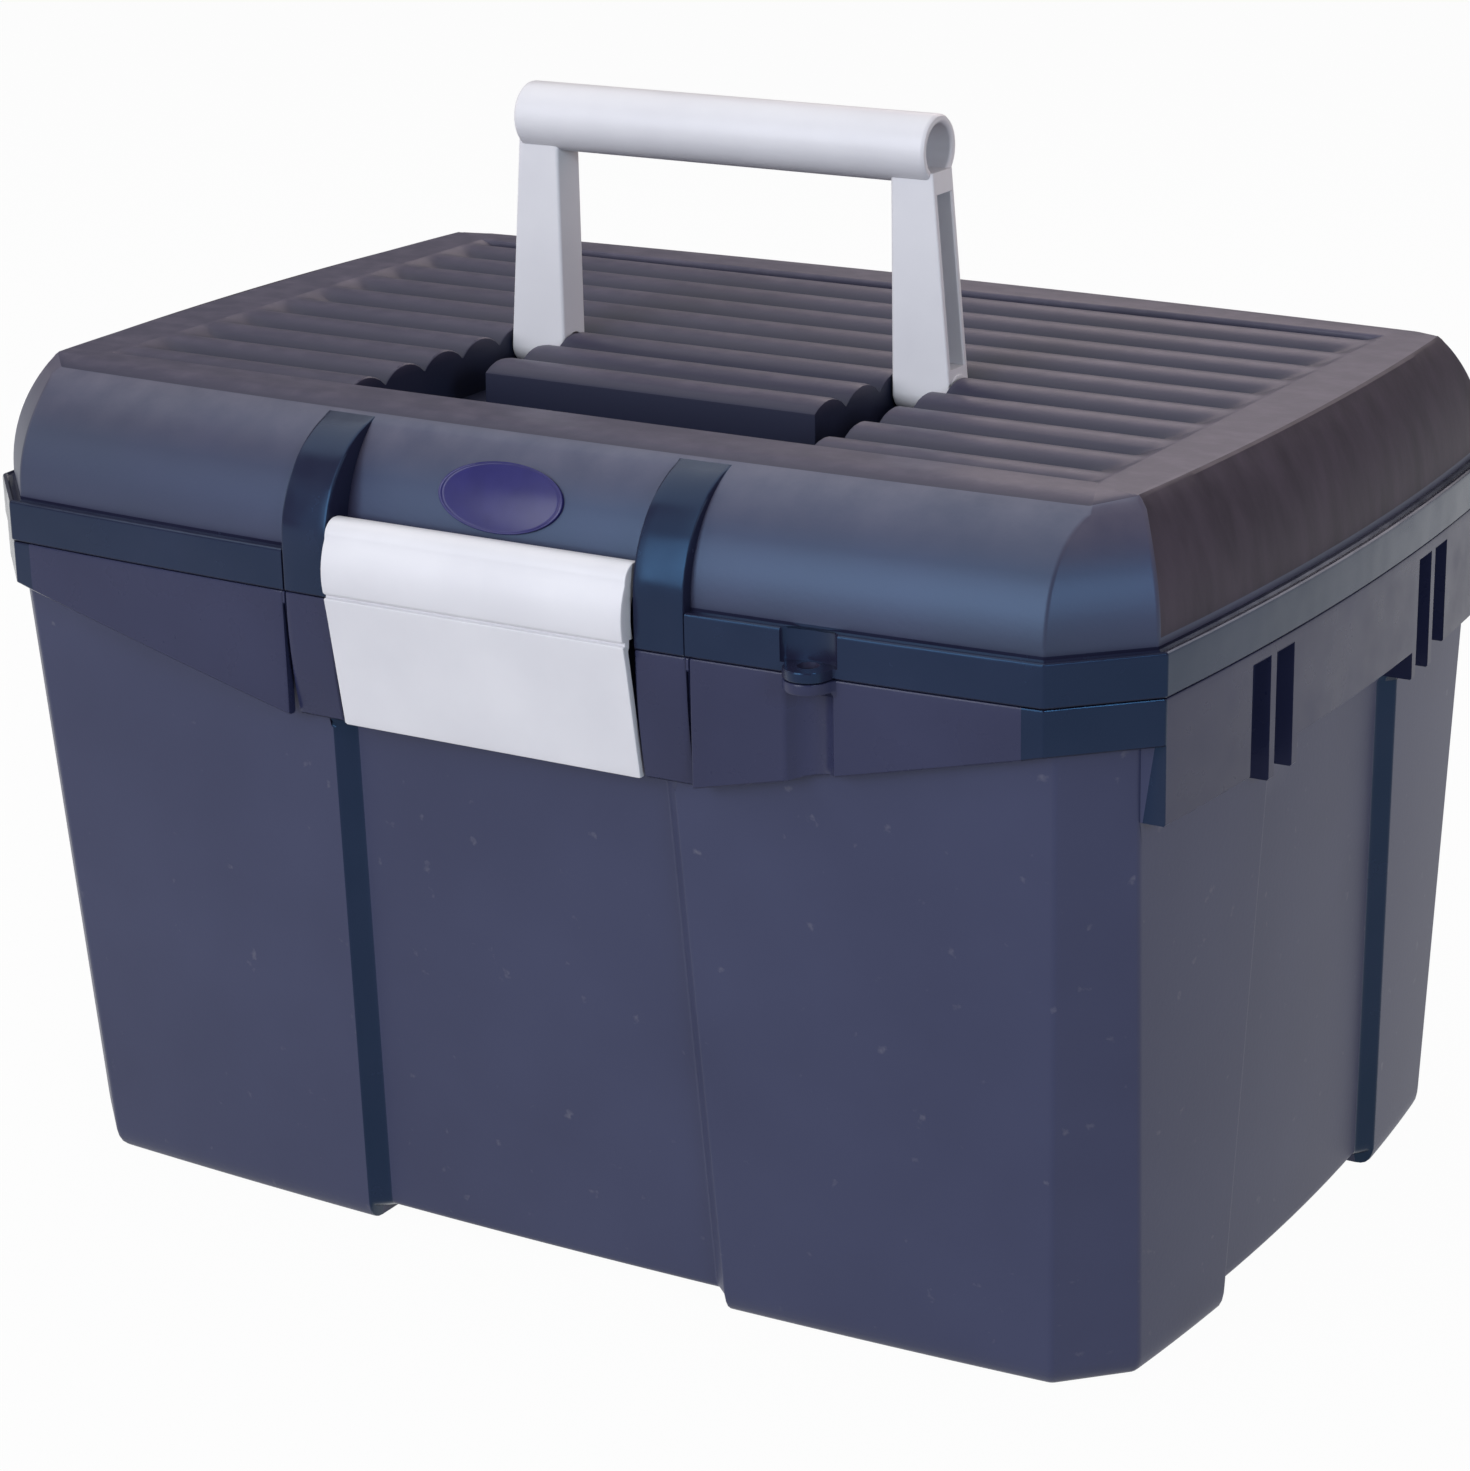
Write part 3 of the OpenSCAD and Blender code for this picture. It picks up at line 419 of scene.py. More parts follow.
def cut_away(piece, cutter):
    """Cuts the form of a skin out of a piece."""
    tool = placed("cutter", mesh_of("cutter", cutter, []))
    flats = piece.modifiers["flats"]
    flats.show_viewport = False
    change = piece.modifiers.new("cut", "BOOLEAN")
    change.operation, change.solver, change.object = "DIFFERENCE", "EXACT", tool
    bpy.context.view_layer.update()
    done = bpy.data.meshes.new_from_object(piece.evaluated_get(bpy.context.evaluated_depsgraph_get()))
    piece.modifiers.remove(change)
    piece.data = done
    soften(done, CREASE)
    flats.show_viewport = True
    bpy.data.objects.remove(tool)


# Sizes that pieces share, in millimetres

PARTING = 203.0
WALL = 2.5
LIP_HALF_Y = 145
LIP = Outline(200, LIP_HALF_Y, 23.5)
FOOT = Outline(189, 126, 18.2)
STRAP_MIDDLE, STRAP_OUTER = 58, 66.6
EYE_X, EYE_Y, EYE_R, EAR_R = 104.0, 143.0, 3, 7
HINGE_X, HINGE_Y, HINGE_Z = 110, 150.5, 203.15
KNUCKLE_R, KNUCKLE_HALF, KNUCKLE_STEP = 5, 7, 14.4


def ear(x):
    """Front of the padlock ear at x."""
    return EYE_Y + sqrt(EAR_R ** 2 - (x - EYE_X) ** 2) if abs(x - EYE_X) < EAR_R else 0.0


def knuckle_section(up):
    """Hinge knuckle with its arm, above the parting line (up = 1) or below it (up = -1)."""
    turns = [k * pi * 1.5 / 18 for k in range(19)]
    section = [(HINGE_Y + KNUCKLE_R * sin(t), HINGE_Z + up * KNUCKLE_R * cos(t)) for t in turns]
    arm_end = 141.5
    return section + [(arm_end, HINGE_Z + up * 0.15), (arm_end, HINGE_Z + up * KNUCKLE_R)]


# Lid

SHOULDER, LID_TOP = 217.0, 252.0
DOME_BACK, DOME_R, FLANK_R, SAIL_R = 3.5, 35.3, 57.0, 46.0
DOME_ROUNDS = (DOME_R, FLANK_R, SAIL_R)
DOME_END = 248.8
BAY_BACK = 10.0
MEETS = 0.92 * DOME_R
MEETS_IN = DOME_BACK + arc_inset(DOME_R, MEETS)
STRAP_R = arc_radius(MEETS, MEETS_IN)
BAY_R = arc_radius(MEETS, MEETS_IN - BAY_BACK)
FIELD_X, FIELD_Y = 165.0, 97.5
RIB_PITCH = 2 * FIELD_Y / 10
RIB_TOP, RIB_LOW = 251.7, 247.7
RIB_R = arc_radius(RIB_PITCH / 2, RIB_TOP - RIB_LOW)
GROOVE_END, BORDER_ROUND = 13, 1.3
TROUGH_FLOOR, ROOF = 235.5, 245.9
TROUGH_X, TROUGH_REAR, SLOT_X, SLOT_REAR = 76.85, -56.85, 56.35, -1.35
SCOOP_HALF, SCOOP_DEEP = 8.5, 3.6


def dome_inset(z, radius=DOME_R):
    """How far in from the lip the dome is at a height."""
    return DOME_BACK + arc_inset(radius, max(z - SHOULDER, 0))


def dome_height(x, y):
    """Height of the smooth dome, without its ribs, at a place."""
    x, y = abs(x), abs(y)
    heights = [LID_TOP]
    for inset, radius in ((LIP.front_r - hypot(x, y + LIP.front_c), DOME_R),
            (LIP.side_r - hypot(x + LIP.side_c, y), FLANK_R), (LIP.reach - (x + y) / ROOT2, SAIL_R)):
        run = max(inset - DOME_BACK, 0)
        if run < radius:
            heights.append(SHOULDER + sqrt(radius ** 2 - (radius - run) ** 2))
    return min(heights)


def in_trough(x, y, grow):
    """Whether a place is in the handle trough or its two slots, all grown by some millimetres."""
    x = abs(x)
    return x < TROUGH_X + grow and (y < TROUGH_REAR + grow or x > SLOT_X - grow and y < SLOT_REAR + grow)


def top_height(x, y):
    """Ribs with pointed groove ends, the eased inner edge of the border, and the handle trough."""
    border = dome_height(x, y)
    off = (y + FIELD_Y) % RIB_PITCH - RIB_PITCH / 2
    run = max(abs(x) - FIELD_X + GROOVE_END, 0) / GROOVE_END
    h = min(max(RIB_TOP - arc_inset(RIB_R, off), RIB_LOW + run * (LID_TOP - RIB_LOW)), border)
    edge = FIELD_Y - abs(y)
    if edge < BORDER_ROUND:
        return max(h, border - arc_inset(BORDER_ROUND, edge))
    if in_trough(x, y, 0):
        return TROUGH_FLOOR
    return h - 0.35 if in_trough(x, y, 0.3) else h


def lid_front(station, z, inset, plain_z, ear_row):
    """Front of the lid: the latch bay, the two straps flush with the lip, and the dome.

    plain_z is the height where the lip has no rounds; ear_row counts the lip's rows up the padlock ear.
    """
    x, zone, ease = station
    dome = dome_inset(z)
    above = max(plain_z - SHOULDER, 0)
    bay = max(BAY_BACK + arc_inset(BAY_R, above), dome)
    if zone == "bay":
        return LIP.front(x, bay), plain_z
    if zone == "strap":
        strap = arc_inset(STRAP_R, above) + ease
        if plain_z < 204:
            strap = max(strap, inset)
        return LIP.front(x, min(strap, dome if abs(x) > STRAP_MIDDLE else bay)), plain_z
    if abs(x - EYE_X) < SCOOP_HALF and ear_row is not None:
        scoop = SCOOP_DEEP * sqrt(1 - ((x - EYE_X) / SCOOP_HALF) ** 2)
        if ear_row < 5:
            lug = ear(x) - (0.6, 0.2, 0.0, 0.0, 0.25)[ear_row]
            return max(LIP.front(x, inset), lug), z
        return LIP.front(x, max(inset, scoop)), 206.3 if ear_row == 5 else z
    return LIP.front(x, inset), z


def lid_skin():
    skin = Skin()
    half_front = [(x, "bay", 0) for x in (0, 10, 20, 30, 40, 46, 49, 50.1, 50.45)]
    half_front += [(50.6, "strap", 1.2), (50.68, "strap", 0.6), (50.95, "strap", 0.18), (51.6, "strap", 0)]
    half_front += [(x, "strap", 0) for x in (54, 56.2, 56.5, 59, 62, 65.6)]
    half_front += [(66.25, "strap", 0.18), (66.52, "strap", 0.6), (66.6, "strap", 1.2)]
    half_front += [(x, "dome", 0) for x in (66.75, 67.4, 69.0, 69.4, 72, 76.7, 77.0, 77.5, 79.2, 79.6, 86, 92,
        95.5, 95.8, 96.4, 97.0, 98.2, 100, 102, 104, 106, 108, 109.8, 111, 111.6, 112.2, 112.5,
        118, 124, 131, 138, 145, 150, 153, 156, 158.5, 160.5, 162.5, 164.4)]
    across = mirrored(half_front)
    xs = [s[0] for s in across]
    # stations at the border, the trough and its slots, then even ones along the ribs
    special = [-96.9, -96.5, -96.25, -96.1, 96.1, 96.25, 96.5, 96.9, -57.0, -56.7, -56.2, -1.5, -1.2, -0.7,
        -54.2, -54.6, 1.1, 1.5]
    ys = special + [y for y in (-FIELD_Y + k * RIB_PITCH / 8 for k in range(1, 80))
        if all(abs(y - s) > 0.45 for s in special) and abs(y) < 95.6]
    ys.sort()
    along = [(y,) for y in ys]
    # under the top the field is a little longer
    low_ys = [y + (2.2 if y > 95.8 else -2.2 if y < -95.8 else 0) for y in ys]

    # the underside: inner dome, locating flange, then the underside of the lip
    flange = Outline(187.05, 131.86, 18.2)
    rings = []

    def inner(z, insets):
        def front(s):
            inset = insets[0]
            if abs(s[0]) < 69.2:
                inset = max(inset, BAY_BACK + WALL + arc_inset(BAY_R, max(z - SHOULDER, 0)))
            return LIP.front(s[0], inset), z
        rings.append(even_ring(LIP, across, along, z, insets, 2.0, front))

    for t in (1.0, 0.5):
        rings.append(field_ring(across, [(y,) for y in low_ys], 166.0, 99.7, t, (23.6, 14.6, 18.0),
            lambda x, y: ROOF))
    for z in (ROOF, 243.5, 240.5, 237, 232, 227, 222, 217):
        inner(z, [DOME_BACK + WALL + arc_inset(r - WALL, z - SHOULDER) for r in DOME_ROUNDS])
    inner(205.8, [DOME_BACK + WALL] * 3)
    for z, inset in ((205.8, 2.2), (198.4, 2.2), (198.08, 1.95), (198.0, 1.5), (198.0, 0.7), (198.08, 0.25),
            (198.4, 0.0), (203.3, 0.0)):
        rings.append(even_ring(flange, across, along, z, [inset] * 3, 1.5))
    inside = len(rings)

    # the lip with a fine groove behind its top edge, then the dome
    lip_rows = [(203.3, 0.9, 203.3), (203.4, 0.35, 203.4), (203.8, 0, 203.8), (205.7, 0, 205.7),
        (206.15, 0, 206.15), (206.6, 0, 206.6), (207.4, 0, 207.4), (210.5, 0, 210.0), (214.4, 0, 212.5),
        (215.1, 0.2, 213.5), (215.42, 0.6, 214.2), (215.5, 1.1, 214.8), (214.9, 1.7, 215.2),
        (214.7, 2.9, 215.6), (215.3, 3.5, 216.0), (216.2, 3.5, 216.5), (217.0, 3.5, 217.0)]
    for row, (z, inset, plain_z) in enumerate(lip_rows):
        rings.append(even_ring(LIP, across, along, z, [inset] * 3, 1.2,
            lambda s: lid_front(s, z, inset, plain_z, row)))
    lip_end = len(rings)
    for z in (218.3, 220, 222, 224.5, 227, 230, 233, 235.5, 238, 240, 241.7, 243.1, 244.4, 245.5, 246.5,
            247.4, 248.2, DOME_END):
        insets = [dome_inset(z, r) for r in DOME_ROUNDS]
        rings.append(even_ring(LIP, across, along, z, insets, 2.4,
            lambda s: lid_front(s, z, insets[0], z, None)))
    dome_end = len(rings)
    for t in (0.1, 0.17, 0.26, 0.36, 0.5, 0.66, 0.83, 1.0):
        rings.append(field_ring(across, along, FIELD_X, FIELD_Y, t, insets, dome_height))

    half_way = len(across) + len(along) + 2 * CORNER_POINTS

    def kind(k, i):
        """The finish of a face: 0 pearled, 1 polished, 2 worn ribs with painted shade, 3 dulled."""
        zone = across[i][1] if i < len(across) - 1 else None
        beyond = across[i + 1][1] if i < len(across) - 1 else None
        if k < inside - 1:
            return 0
        if "strap" in (zone, beyond) and k < dome_end:
            return 1
        right = i - len(across) - CORNER_POINTS + 1
        if lip_end <= k <= dome_end and (0 <= right <= len(along) or 0 <= right - half_way <= len(along)):
            return 3
        if k > dome_end:
            return 2
        return 1 if k < lip_end - 2 and zone != "bay" else 0

    first, last = skin.levels(rings, kind)
    skin.cap(last, xs, ys, top_height, 2)
    skin.cap(first, xs, low_ys, lambda x, y: TROUGH_FLOOR - WALL if in_trough(x, y, WALL) else ROOF, 0)
    for middle in (-HINGE_X, HINGE_X):
        skin.bar(knuckle_section(1), middle - KNUCKLE_HALF, middle + KNUCKLE_HALF, 1, 0.5)
    return skin


def field_ring(across, along, field_x, field_y, t, insets, height):
    """A ring part of the way from the dome to the straight edges of the ribbed field."""
    def blend(a, b):
        return a + (b - a) * t
    ease = 0.5
    corner = []
    start = LIP.corner(*insets, 2.4)
    for k, (x, y) in enumerate(start):
        turn = pi / 2 * (1 - k / (len(start) - 1))
        corner.append((blend(x, field_x - ease + ease * cos(turn)),
            blend(y, field_y - ease + ease * sin(turn))))

    def front(s):
        d = blend(LIP.front(s[0], insets[0]), field_y)
        return d, height(s[0], d)

    def side(s):
        d = blend(LIP.side(s[0], insets[1]), field_x)
        return d, height(d, s[0])
    points = ring(across, along, corner, 0.0, front, side, front)
    return [(x, y, height(x, y)) for x, y, z in points]


lid = moulding("lid_shell", lid_skin(), [pearled, polished_navy_and_painted_shade, worn_ribs_and_painted_shade, dulled], "lid", "lid")


# Tub

# stations across the slanting edge of a sunk panel, from its foot outwards
FRONT_EDGES = [-5.6, -5.2, -4.7, -4.0, -3.2, -2.4, -1.6, -0.9, -0.4, 0.0, 0.35, 0.75, 1.3, 2.0, 2.8, 3.8,
    5.0, 6.5]
SIDE_EDGES = [-5.6, -5.2, -4.7, -4.0, -2.8, -1.6, -0.6, -0.1, 0.3, 0.8, 1.6]
SUNK_DEPTH, SUNK_RUN, EDGE_FOOT = 4.5, 5.7, 6.4
FRONT_FLARE, SIDE_FLARE, CORNER_FLARE = 14, 6, 20 / ROOT2
FOOT_STEP = 3.5
CURL_R = arc_radius(34.0, 3.5)
SKIRT_LOW, SKIRT_LOW_CORNER, CORNER_X = 166, 190.0, 170.7


def rounded_ramp(w, k=0.12):
    """A straight ramp from 0 to 1 with eased ends."""
    w = min(max(w, 0.0), 1.0)
    if w < k:
        return w * w / (2 * k * (1 - k))
    if w > 1 - k:
        return 1 - (1 - w) ** 2 / (2 * k * (1 - k))
    return (w - k / 2) / (1 - k)


def front_edge(z):
    """Where the sunk panel of the front and the rear ends, at a height."""
    return 63 - 7 * z / PARTING


def side_edge(z):
    """Where the sunk panel of the sides ends, at a height."""
    return 56 - 12 * z / PARTING


def sunk(off, edge):
    """Depth of a sunk panel, measured out from the middle, with its sloping edge."""
    return SUNK_DEPTH * rounded_ramp((edge + 0.4 - abs(off)) / SUNK_RUN)


def wall_front(x, z, inset=0.0):
    return FOOT.front(x, inset + sunk(x, front_edge(z)) - FRONT_FLARE * z / PARTING)


def wall_side(y, z, inset=0.0):
    return FOOT.side(y, inset + sunk(y, side_edge(z)) - SIDE_FLARE * z / PARTING)


def wall_corner(z, inset=0.0, rounding=3.0):
    flares = (FRONT_FLARE, SIDE_FLARE, CORNER_FLARE)
    return FOOT.corner(*(inset - flare * z / PARTING for flare in flares), rounding)


def down_the_skirt(zone, off, lip_at, wall_at, low, ease=0.0, lug=0.0, flute=None):
    """From the rim down the face of the skirt, and back up behind it to the wall, as (distance, height).

    lip_at and wall_at give the lip's outline and the wall at an offset; low is the skirt's lower edge.
    """
    def reach(inset):
        return lip_at(off, inset)

    def wall(z):
        return wall_at(off, z)
    if zone == "bay":
        line = [(wall(203) - 0.6, 203.0), (wall(203) - 0.15, 202.9), (wall(202.5), 202.5)]
        return line + [(wall(z), z) for z in (201, 198, 195, 192, 188, 184, 180, 176, 172, 168, 164)]
    outer = max(reach(0.4 + ease), lug)
    top = [(wall(203), 203.0), (max(reach(1.2 + ease), lug - 0.8), 203.0),
        (max(reach(0.6 + ease), lug - 0.2), 202.88), (outer, 202.4), (outer, 200.5)]
    if zone == "strap":
        def curl(z):
            return max(reach(0.4 + ease + arc_inset(CURL_R, max(200 - z, 0))), wall(z))
        line = top + [(curl(z), z) for z in (196.5, 191, 185, 179.5, 174.5, 170, 166.6)]
        return line + [(max(curl(166.0) - 0.7, wall(165.9)), 165.9), (wall(165.0), 165.0)]
    face = reach(0.4 + ease) if flute is None else min(reach(0.4), flute)
    back = max(face - 2.2, wall(low) + 0.3)
    line = top + [(max(face, lug - 0.3), 200.0 if lug else 199.9)]
    line += [(face, 199.7 + (low + 0.5 - 199.7) * f) for f in (0.05, 0.6, 1.0)]
    if zone in ("rib", "tabwall"):
        return line + [(face - 0.5 + (wall(low) - face + 0.5) * f, low) for f in (0, 0.35, 0.65, 0.9, 1.0)]
    if zone in ("gap", "slit"):
        line += [(face - 0.4, low), (face - 1.4, low), (face - 2.2, low)]
        return line + [(wall(low) + 0.6, low), (wall(low), low - 0.1)]
    line += [(face - 0.5, low), (back + 0.5, low), (back, low + 0.5)]
    return line + [(back, 199.6), (wall(199.6), 199.6)]


# the lower edge of each part of the skirt
LOW_OF = {"mid": 172.0, "rib": 164.0, "gap": 199.2, "slit": 199.2, "tab": 168.0, "tabwall": 168.0}


def tub_skin():
    skin = Skin()
    half_front = [(x, "bay", 0) for x in (0, 10, 20, 30, 40, 46, 49.5, 50.45)]
    half_front += [(50.6, "strap", 1.0), (50.72, "strap", 0.4), (51.2, "strap", 0.06)]
    half_front += [(x, "strap", 0) for x in (53, 56, 59, 62, 64.5)]
    half_front += [(66.0, "strap", 0.06), (66.48, "strap", 0.4), (66.6, "strap", 1.0)]
    half_front += [(66.75, "slit", 0), (67.1, "slit", 0), (67.45, "slit", 0)]
    half_front += [(67.6, "skirt", 0.8), (67.75, "skirt", 0.3), (68.3, "skirt", 0.03), (72, "skirt", 0)]
    half_front += [(x, "skirt", 0) for x in (78, 85, 91, 95.3, 96.2, 97.05, 98.2, 100, 102, 104, 106, 108,
        109.8, 110.95, 111.8, 112.7, 119, 127, 136, 145, 153, 159, 162.5, 164.4)]
    half_side = [(y, "mid") for y in (0, 12, 24, 34, 40, 41.85)]
    half_side += [(y, "rib") for y in (42.0, 42.3, 44.7, 45.0)] + [(y, "gap") for y in (45.15, 50, 55.85)]
    half_side += [(y, "rib") for y in (56.0, 56.3, 58.7, 59.0)] + [(y, "gap") for y in (59.15, 64, 69.85)]
    half_side += [(y, "tabwall") for y in (70.0, 70.3, 72.2)]
    half_side += [(y, "tab") for y in (72.35, 80, 90, 100, 108, 112.8)]
    half_side += [(y, "tabwall") for y in (112.95, 114.8, 115.2)]
    across, along = mirrored(half_front), mirrored(half_side)
    # stations on one half of a sunk panel of the front and of a side
    bays, mids = 8, 6

    def lower(z, corner):
        """Stations below the skirt: they follow the slanting edges of the sunk panels."""
        x_end, y_end = corner[0][0] - 0.4, corner[-1][1] - 0.4
        e, rest = front_edge(z), len(half_front) - bays - len(FRONT_EDGES)
        row_x = [(e - EDGE_FOOT) * k / (bays - 1) for k in range(bays)] + [e + o for o in FRONT_EDGES]
        row_x += [e + 8.5 + (x_end - e - 8.5) * k / (rest - 1) for k in range(rest)]
        e, rest = side_edge(z), len(half_side) - mids - len(SIDE_EDGES)
        row_y = [(e - EDGE_FOOT) * k / (mids - 1) for k in range(mids)] + [e + o for o in SIDE_EDGES]
        row_y += [e + 3 + (y_end - e - 3) * k / (rest - 1) for k in range(rest)]
        return mirrored([(x,) for x in row_x]), mirrored([(y,) for y in row_y])

    def wall_ring(z, inset, foot=None, rounding=3.0):
        corner = wall_corner(z, inset, rounding)
        wide, deep = lower(z, corner)

        def raised(off, edge):
            return z if foot is None else z + FOOT_STEP * foot * (abs(off) < edge - 0.2)

        def front(s):
            return wall_front(s[0], z, inset), raised(s[0], front_edge(z))

        def side(s):
            return wall_side(s[0], z, inset), raised(s[0], side_edge(z))
        return ring(wide, deep, corner, z, front, side, front), wide, deep

    rings = []
    floor_ring, floor_x, floor_y = wall_ring(6.0, 7.0, rounding=2.0)
    rings.append(floor_ring)
    for z, inset in ((6.4, 4.6), (8.0, 3.0), (11.0, WALL), (60, WALL), (120, WALL), (165, WALL), (195, WALL),
            (202.6, WALL), (203.0, 2.1)):
        rings.append(wall_ring(z, inset, rounding=2.0)[0])
    inside = len(rings)

    def front_line(s):
        x, zone, ease = s
        rise = SKIRT_LOW_CORNER - SKIRT_LOW
        low = LOW_OF.get(zone, SKIRT_LOW + rise * (abs(x) - STRAP_OUTER) / (CORNER_X - STRAP_OUTER))
        lug, flute = ear(x), None
        if abs(x - EYE_X) < 8.4:
            flute = EYE_Y + 4.25 - sqrt(8.5 ** 2 - (x - EYE_X) ** 2)
        return down_the_skirt(zone, x, LIP.front, wall_front, low, ease, lug, flute)

    def side_line(s):
        return down_the_skirt(s[1], s[0], LIP.side, wall_side, LOW_OF[s[1]])

    def left_line(s):
        if s[0] > -69.9:
            return side_line(s)
        return down_the_skirt("skirt", s[0], LIP.side, wall_side, SKIRT_LOW_CORNER)

    def rear_line(s):
        return down_the_skirt("skirt", s[0], LIP.front, wall_front, SKIRT_LOW_CORNER)

    fronts, sides, lefts, rears = ({s[0]: give(s) for s in stations} for stations, give in
        ((across, front_line), (along, side_line), (along, left_line), (across, rear_line)))
    skirt_corner = [(LIP.corner(a, a, a, 1.2), z) for a, z in ((1.2, 203.0), (0.6, 202.88), (0.4, 202.4),
        (0.4, 200.5), (0.4, 199.9), (0.4, 199.4), (0.4, 194.0), (0.4, 190.5), (0.9, 190.0), (2.1, 190.0),
        (2.6, 190.5), (2.6, 199.6))]
    skirt_corner = [(wall_corner(203), 203.0)] + skirt_corner + [(wall_corner(199.6), 199.6)]
    for k, (corner, z) in enumerate(skirt_corner):
        rings.append(ring(across, along, corner, z, lambda s: fronts[s[0]][k], lambda s: sides[s[0]][k],
            lambda s: rears[s[0]][k], lambda s: lefts[s[0]][k]))
    for z in (162, 150, 125, 100, 75, 50, 28, 14, 8.5):
        rings.append(wall_ring(z, 0.0)[0])
    for z, inset, foot in ((6.0, 0.05, 0.2), (3.8, 0.4, 0.55), (2.0, 1.2, 0.85), (0.8, 2.4, 0.97),
            (0.2, 3.8, 1.0), (0.0, 5.6, 1.0)):
        base_ring, base_x, base_y = wall_ring(z, inset, foot)
        rings.append(base_ring)

    half_way = len(across) + len(along) + 2 * CORNER_POINTS
    right_end = len(across) + CORNER_POINTS + len(along)
    corner_starts = (len(across), right_end, half_way + len(across), half_way + right_end)
    skirt_end = inside + len(skirt_corner) - 2

    def kind(k, i):
        """The finish of a face: 0 grained, 1 smooth, 2 polished, also used as painted shade."""
        if inside <= k < skirt_end:
            if i < len(across) - 1:
                return 0 if across[i][1] == "bay" else 1
            # the skirt's cut corners keep the darker polished navy: glossy, and darker as painted shade
            return 2 if any(0 <= i - start + 1 <= CORNER_POINTS for start in corner_starts) else 1
        # one slanting edge of each sunk panel takes the darker polished navy as painted shade;
        # both counts start at the panel's foot
        face = i % half_way
        front = (len(across) - 1) // 2 - 1 - face - bays
        side = face - len(across) - CORNER_POINTS - (len(along) - 1) // 2 - mids
        step_in_painted_shade = 0 < front < FRONT_EDGES.index(0.35) or 0 < side < SIDE_EDGES.index(0.3)
        return 2 if step_in_painted_shade and k > skirt_end else 0

    first, last = skin.levels(rings, kind)
    skin.cap(first, [s[0] for s in floor_x], [s[0] for s in floor_y], lambda x, y: 6.0, 0)
    skin.cap(last, [s[0] for s in base_x], [s[0] for s in base_y],
        lambda x, y: FOOT_STEP if abs(x) < front_edge(0) - 0.2 or abs(y) < side_edge(0) - 0.2 else 0.0, 0)
    fin = ((112, 5.5), (122.8, 5.5), (131.8, 143.4), (116.5, 143.4), (112, 139))
    for middle in (-HINGE_X, HINGE_X):
        for end in (-KNUCKLE_STEP, KNUCKLE_STEP):
            skin.bar(knuckle_section(-1), middle + end - KNUCKLE_HALF, middle + end + KNUCKLE_HALF, 1, 0.5)
        # fins that carry the tray
        for way in (-1, 1):
            skin.bar([(way * y, z) for y, z in fin], middle - 1.5, middle + 1.5, 0, 0.4)
    # catch that the latch hooks under
    catch = [(-133.5, 195.0), (-133.5, 198.5), (-138.2, 198.5), (-138.95, 197.7), (-138.95, 195.6),
        (-138.4, 195.0)]
    skin.bar(catch, -30.4, 30.4, 1, 0.6)
    return skin


tub = moulding("tub_shell", tub_skin(), [grained, smooth, polished_navy_and_painted_shade], "tub", "tub")

# the padlock hole goes through both ears
hole = Skin()
turns = [2 * pi * k / 40 for k in range(40)]
hole.stack([[(EYE_X + EYE_R * cos(t), -EYE_Y + EYE_R * sin(t), z) for t in turns] for z in (190.0, 212.0)], 0)
cut_away(tub, hole)
cut_away(lid, hole)


# Handle

PIVOT_Y, PIVOT_Z, GRIP_Z = -8.0, 246.5, 317.0
LEG_INNER, LEG_FOOT, LEG_TOP, LEG_ROUND = 57.0, 76.3, 70.3, 1.1


def leg_ring(side, z, sunk_to):
    """One level of a leg: a channel open to the outside, or solid where sunk_to is nothing."""
    outer = LEG_FOOT + (LEG_TOP - LEG_FOOT) * (z - PIVOT_Z) / (GRIP_Z - PIVOT_Z)
    deep, half = 6.0, 4.0
    floor = outer if sunk_to is None else LEG_INNER + sunk_to
    section = []
    for edge, way, r, start in ((LEG_INNER, 1, LEG_ROUND, pi), (outer, -1, LEG_ROUND * 0.6, 1.5 * pi)):
        turns = [start + k * pi / 8 for k in range(5)]
        section += [(edge + way * r + r * cos(t), -deep + r + r * sin(t)) for t in turns]
    lip = min(0.4, outer - floor)
    section += [(outer, -half - 0.4), (outer - lip, -half), (floor + lip, -half), (floor, -half + 0.5),
        (floor, half - 0.5), (floor + lip, half), (outer - lip, half), (outer, half + 0.4)]
    section += [(x, -y) for x, y in reversed(section[:10])]
    return [(side * x, PIVOT_Y + y, z) for x, y in section]


def handle_skin():
    skin = Skin()
    bore = 7.2
    half = [(58.7, 0.0), (58.7, bore), (69.0, bore), (69.6, bore + 0.35), (69.95, bore + 1.0), (70.0, 8.7),
        (69.85, 9.4), (69.35, 9.85), (68.6, 10.0), (45, 10.0), (20, 10.0)]
    skin.turned([(-x, r) for x, r in half] + list(reversed(half)), PIVOT_Y, GRIP_Z, 0, 64)
    rows = [(246.5, None), (250, None), (253.9, None), (254.3, None), (254.6, 2.6), (255.6, 2.0), (270, 2.0),
        (285, 2.0), (303.4, 2.0), (304.4, 2.6), (304.7, None), (305.2, None), (311, None)]
    eye = [(57.0, 0.0), (57.0, 2.7), (57.0, 5.0), (57.3, 5.7), (58.1, 6.0), (75.6, 6.0), (76.1, 5.8),
        (76.3, 5.3), (76.3, 2.7), (76.3, 0.0)]
    # two legs, each with a round eye for its pin
    for side in (-1, 1):
        skin.stack([leg_ring(side, z, depth) for z, depth in rows], 0)
        skin.turned([(side * x, r) for x, r in eye], PIVOT_Y, PIVOT_Z, 0)
    return skin


moulding("carry_handle", handle_skin(), [light_grey], "handle", "handle")


# Latch

LATCH_Y, LATCH_Z, LATCH_FRONT, LATCH_BELLY, BARREL_R = -140.9, 221.2, -148.8, 210.83, 5.3
BELLY_R = arc_radius(LATCH_Z - LATCH_BELLY, LATCH_Y - BARREL_R - LATCH_FRONT)
FLAP_RUN, FLAP_WALL = 6.6, 2.6
GROOVE_Z, FLAP_TOP, FLAP_LOW = 205.0, 204.6, 165.5


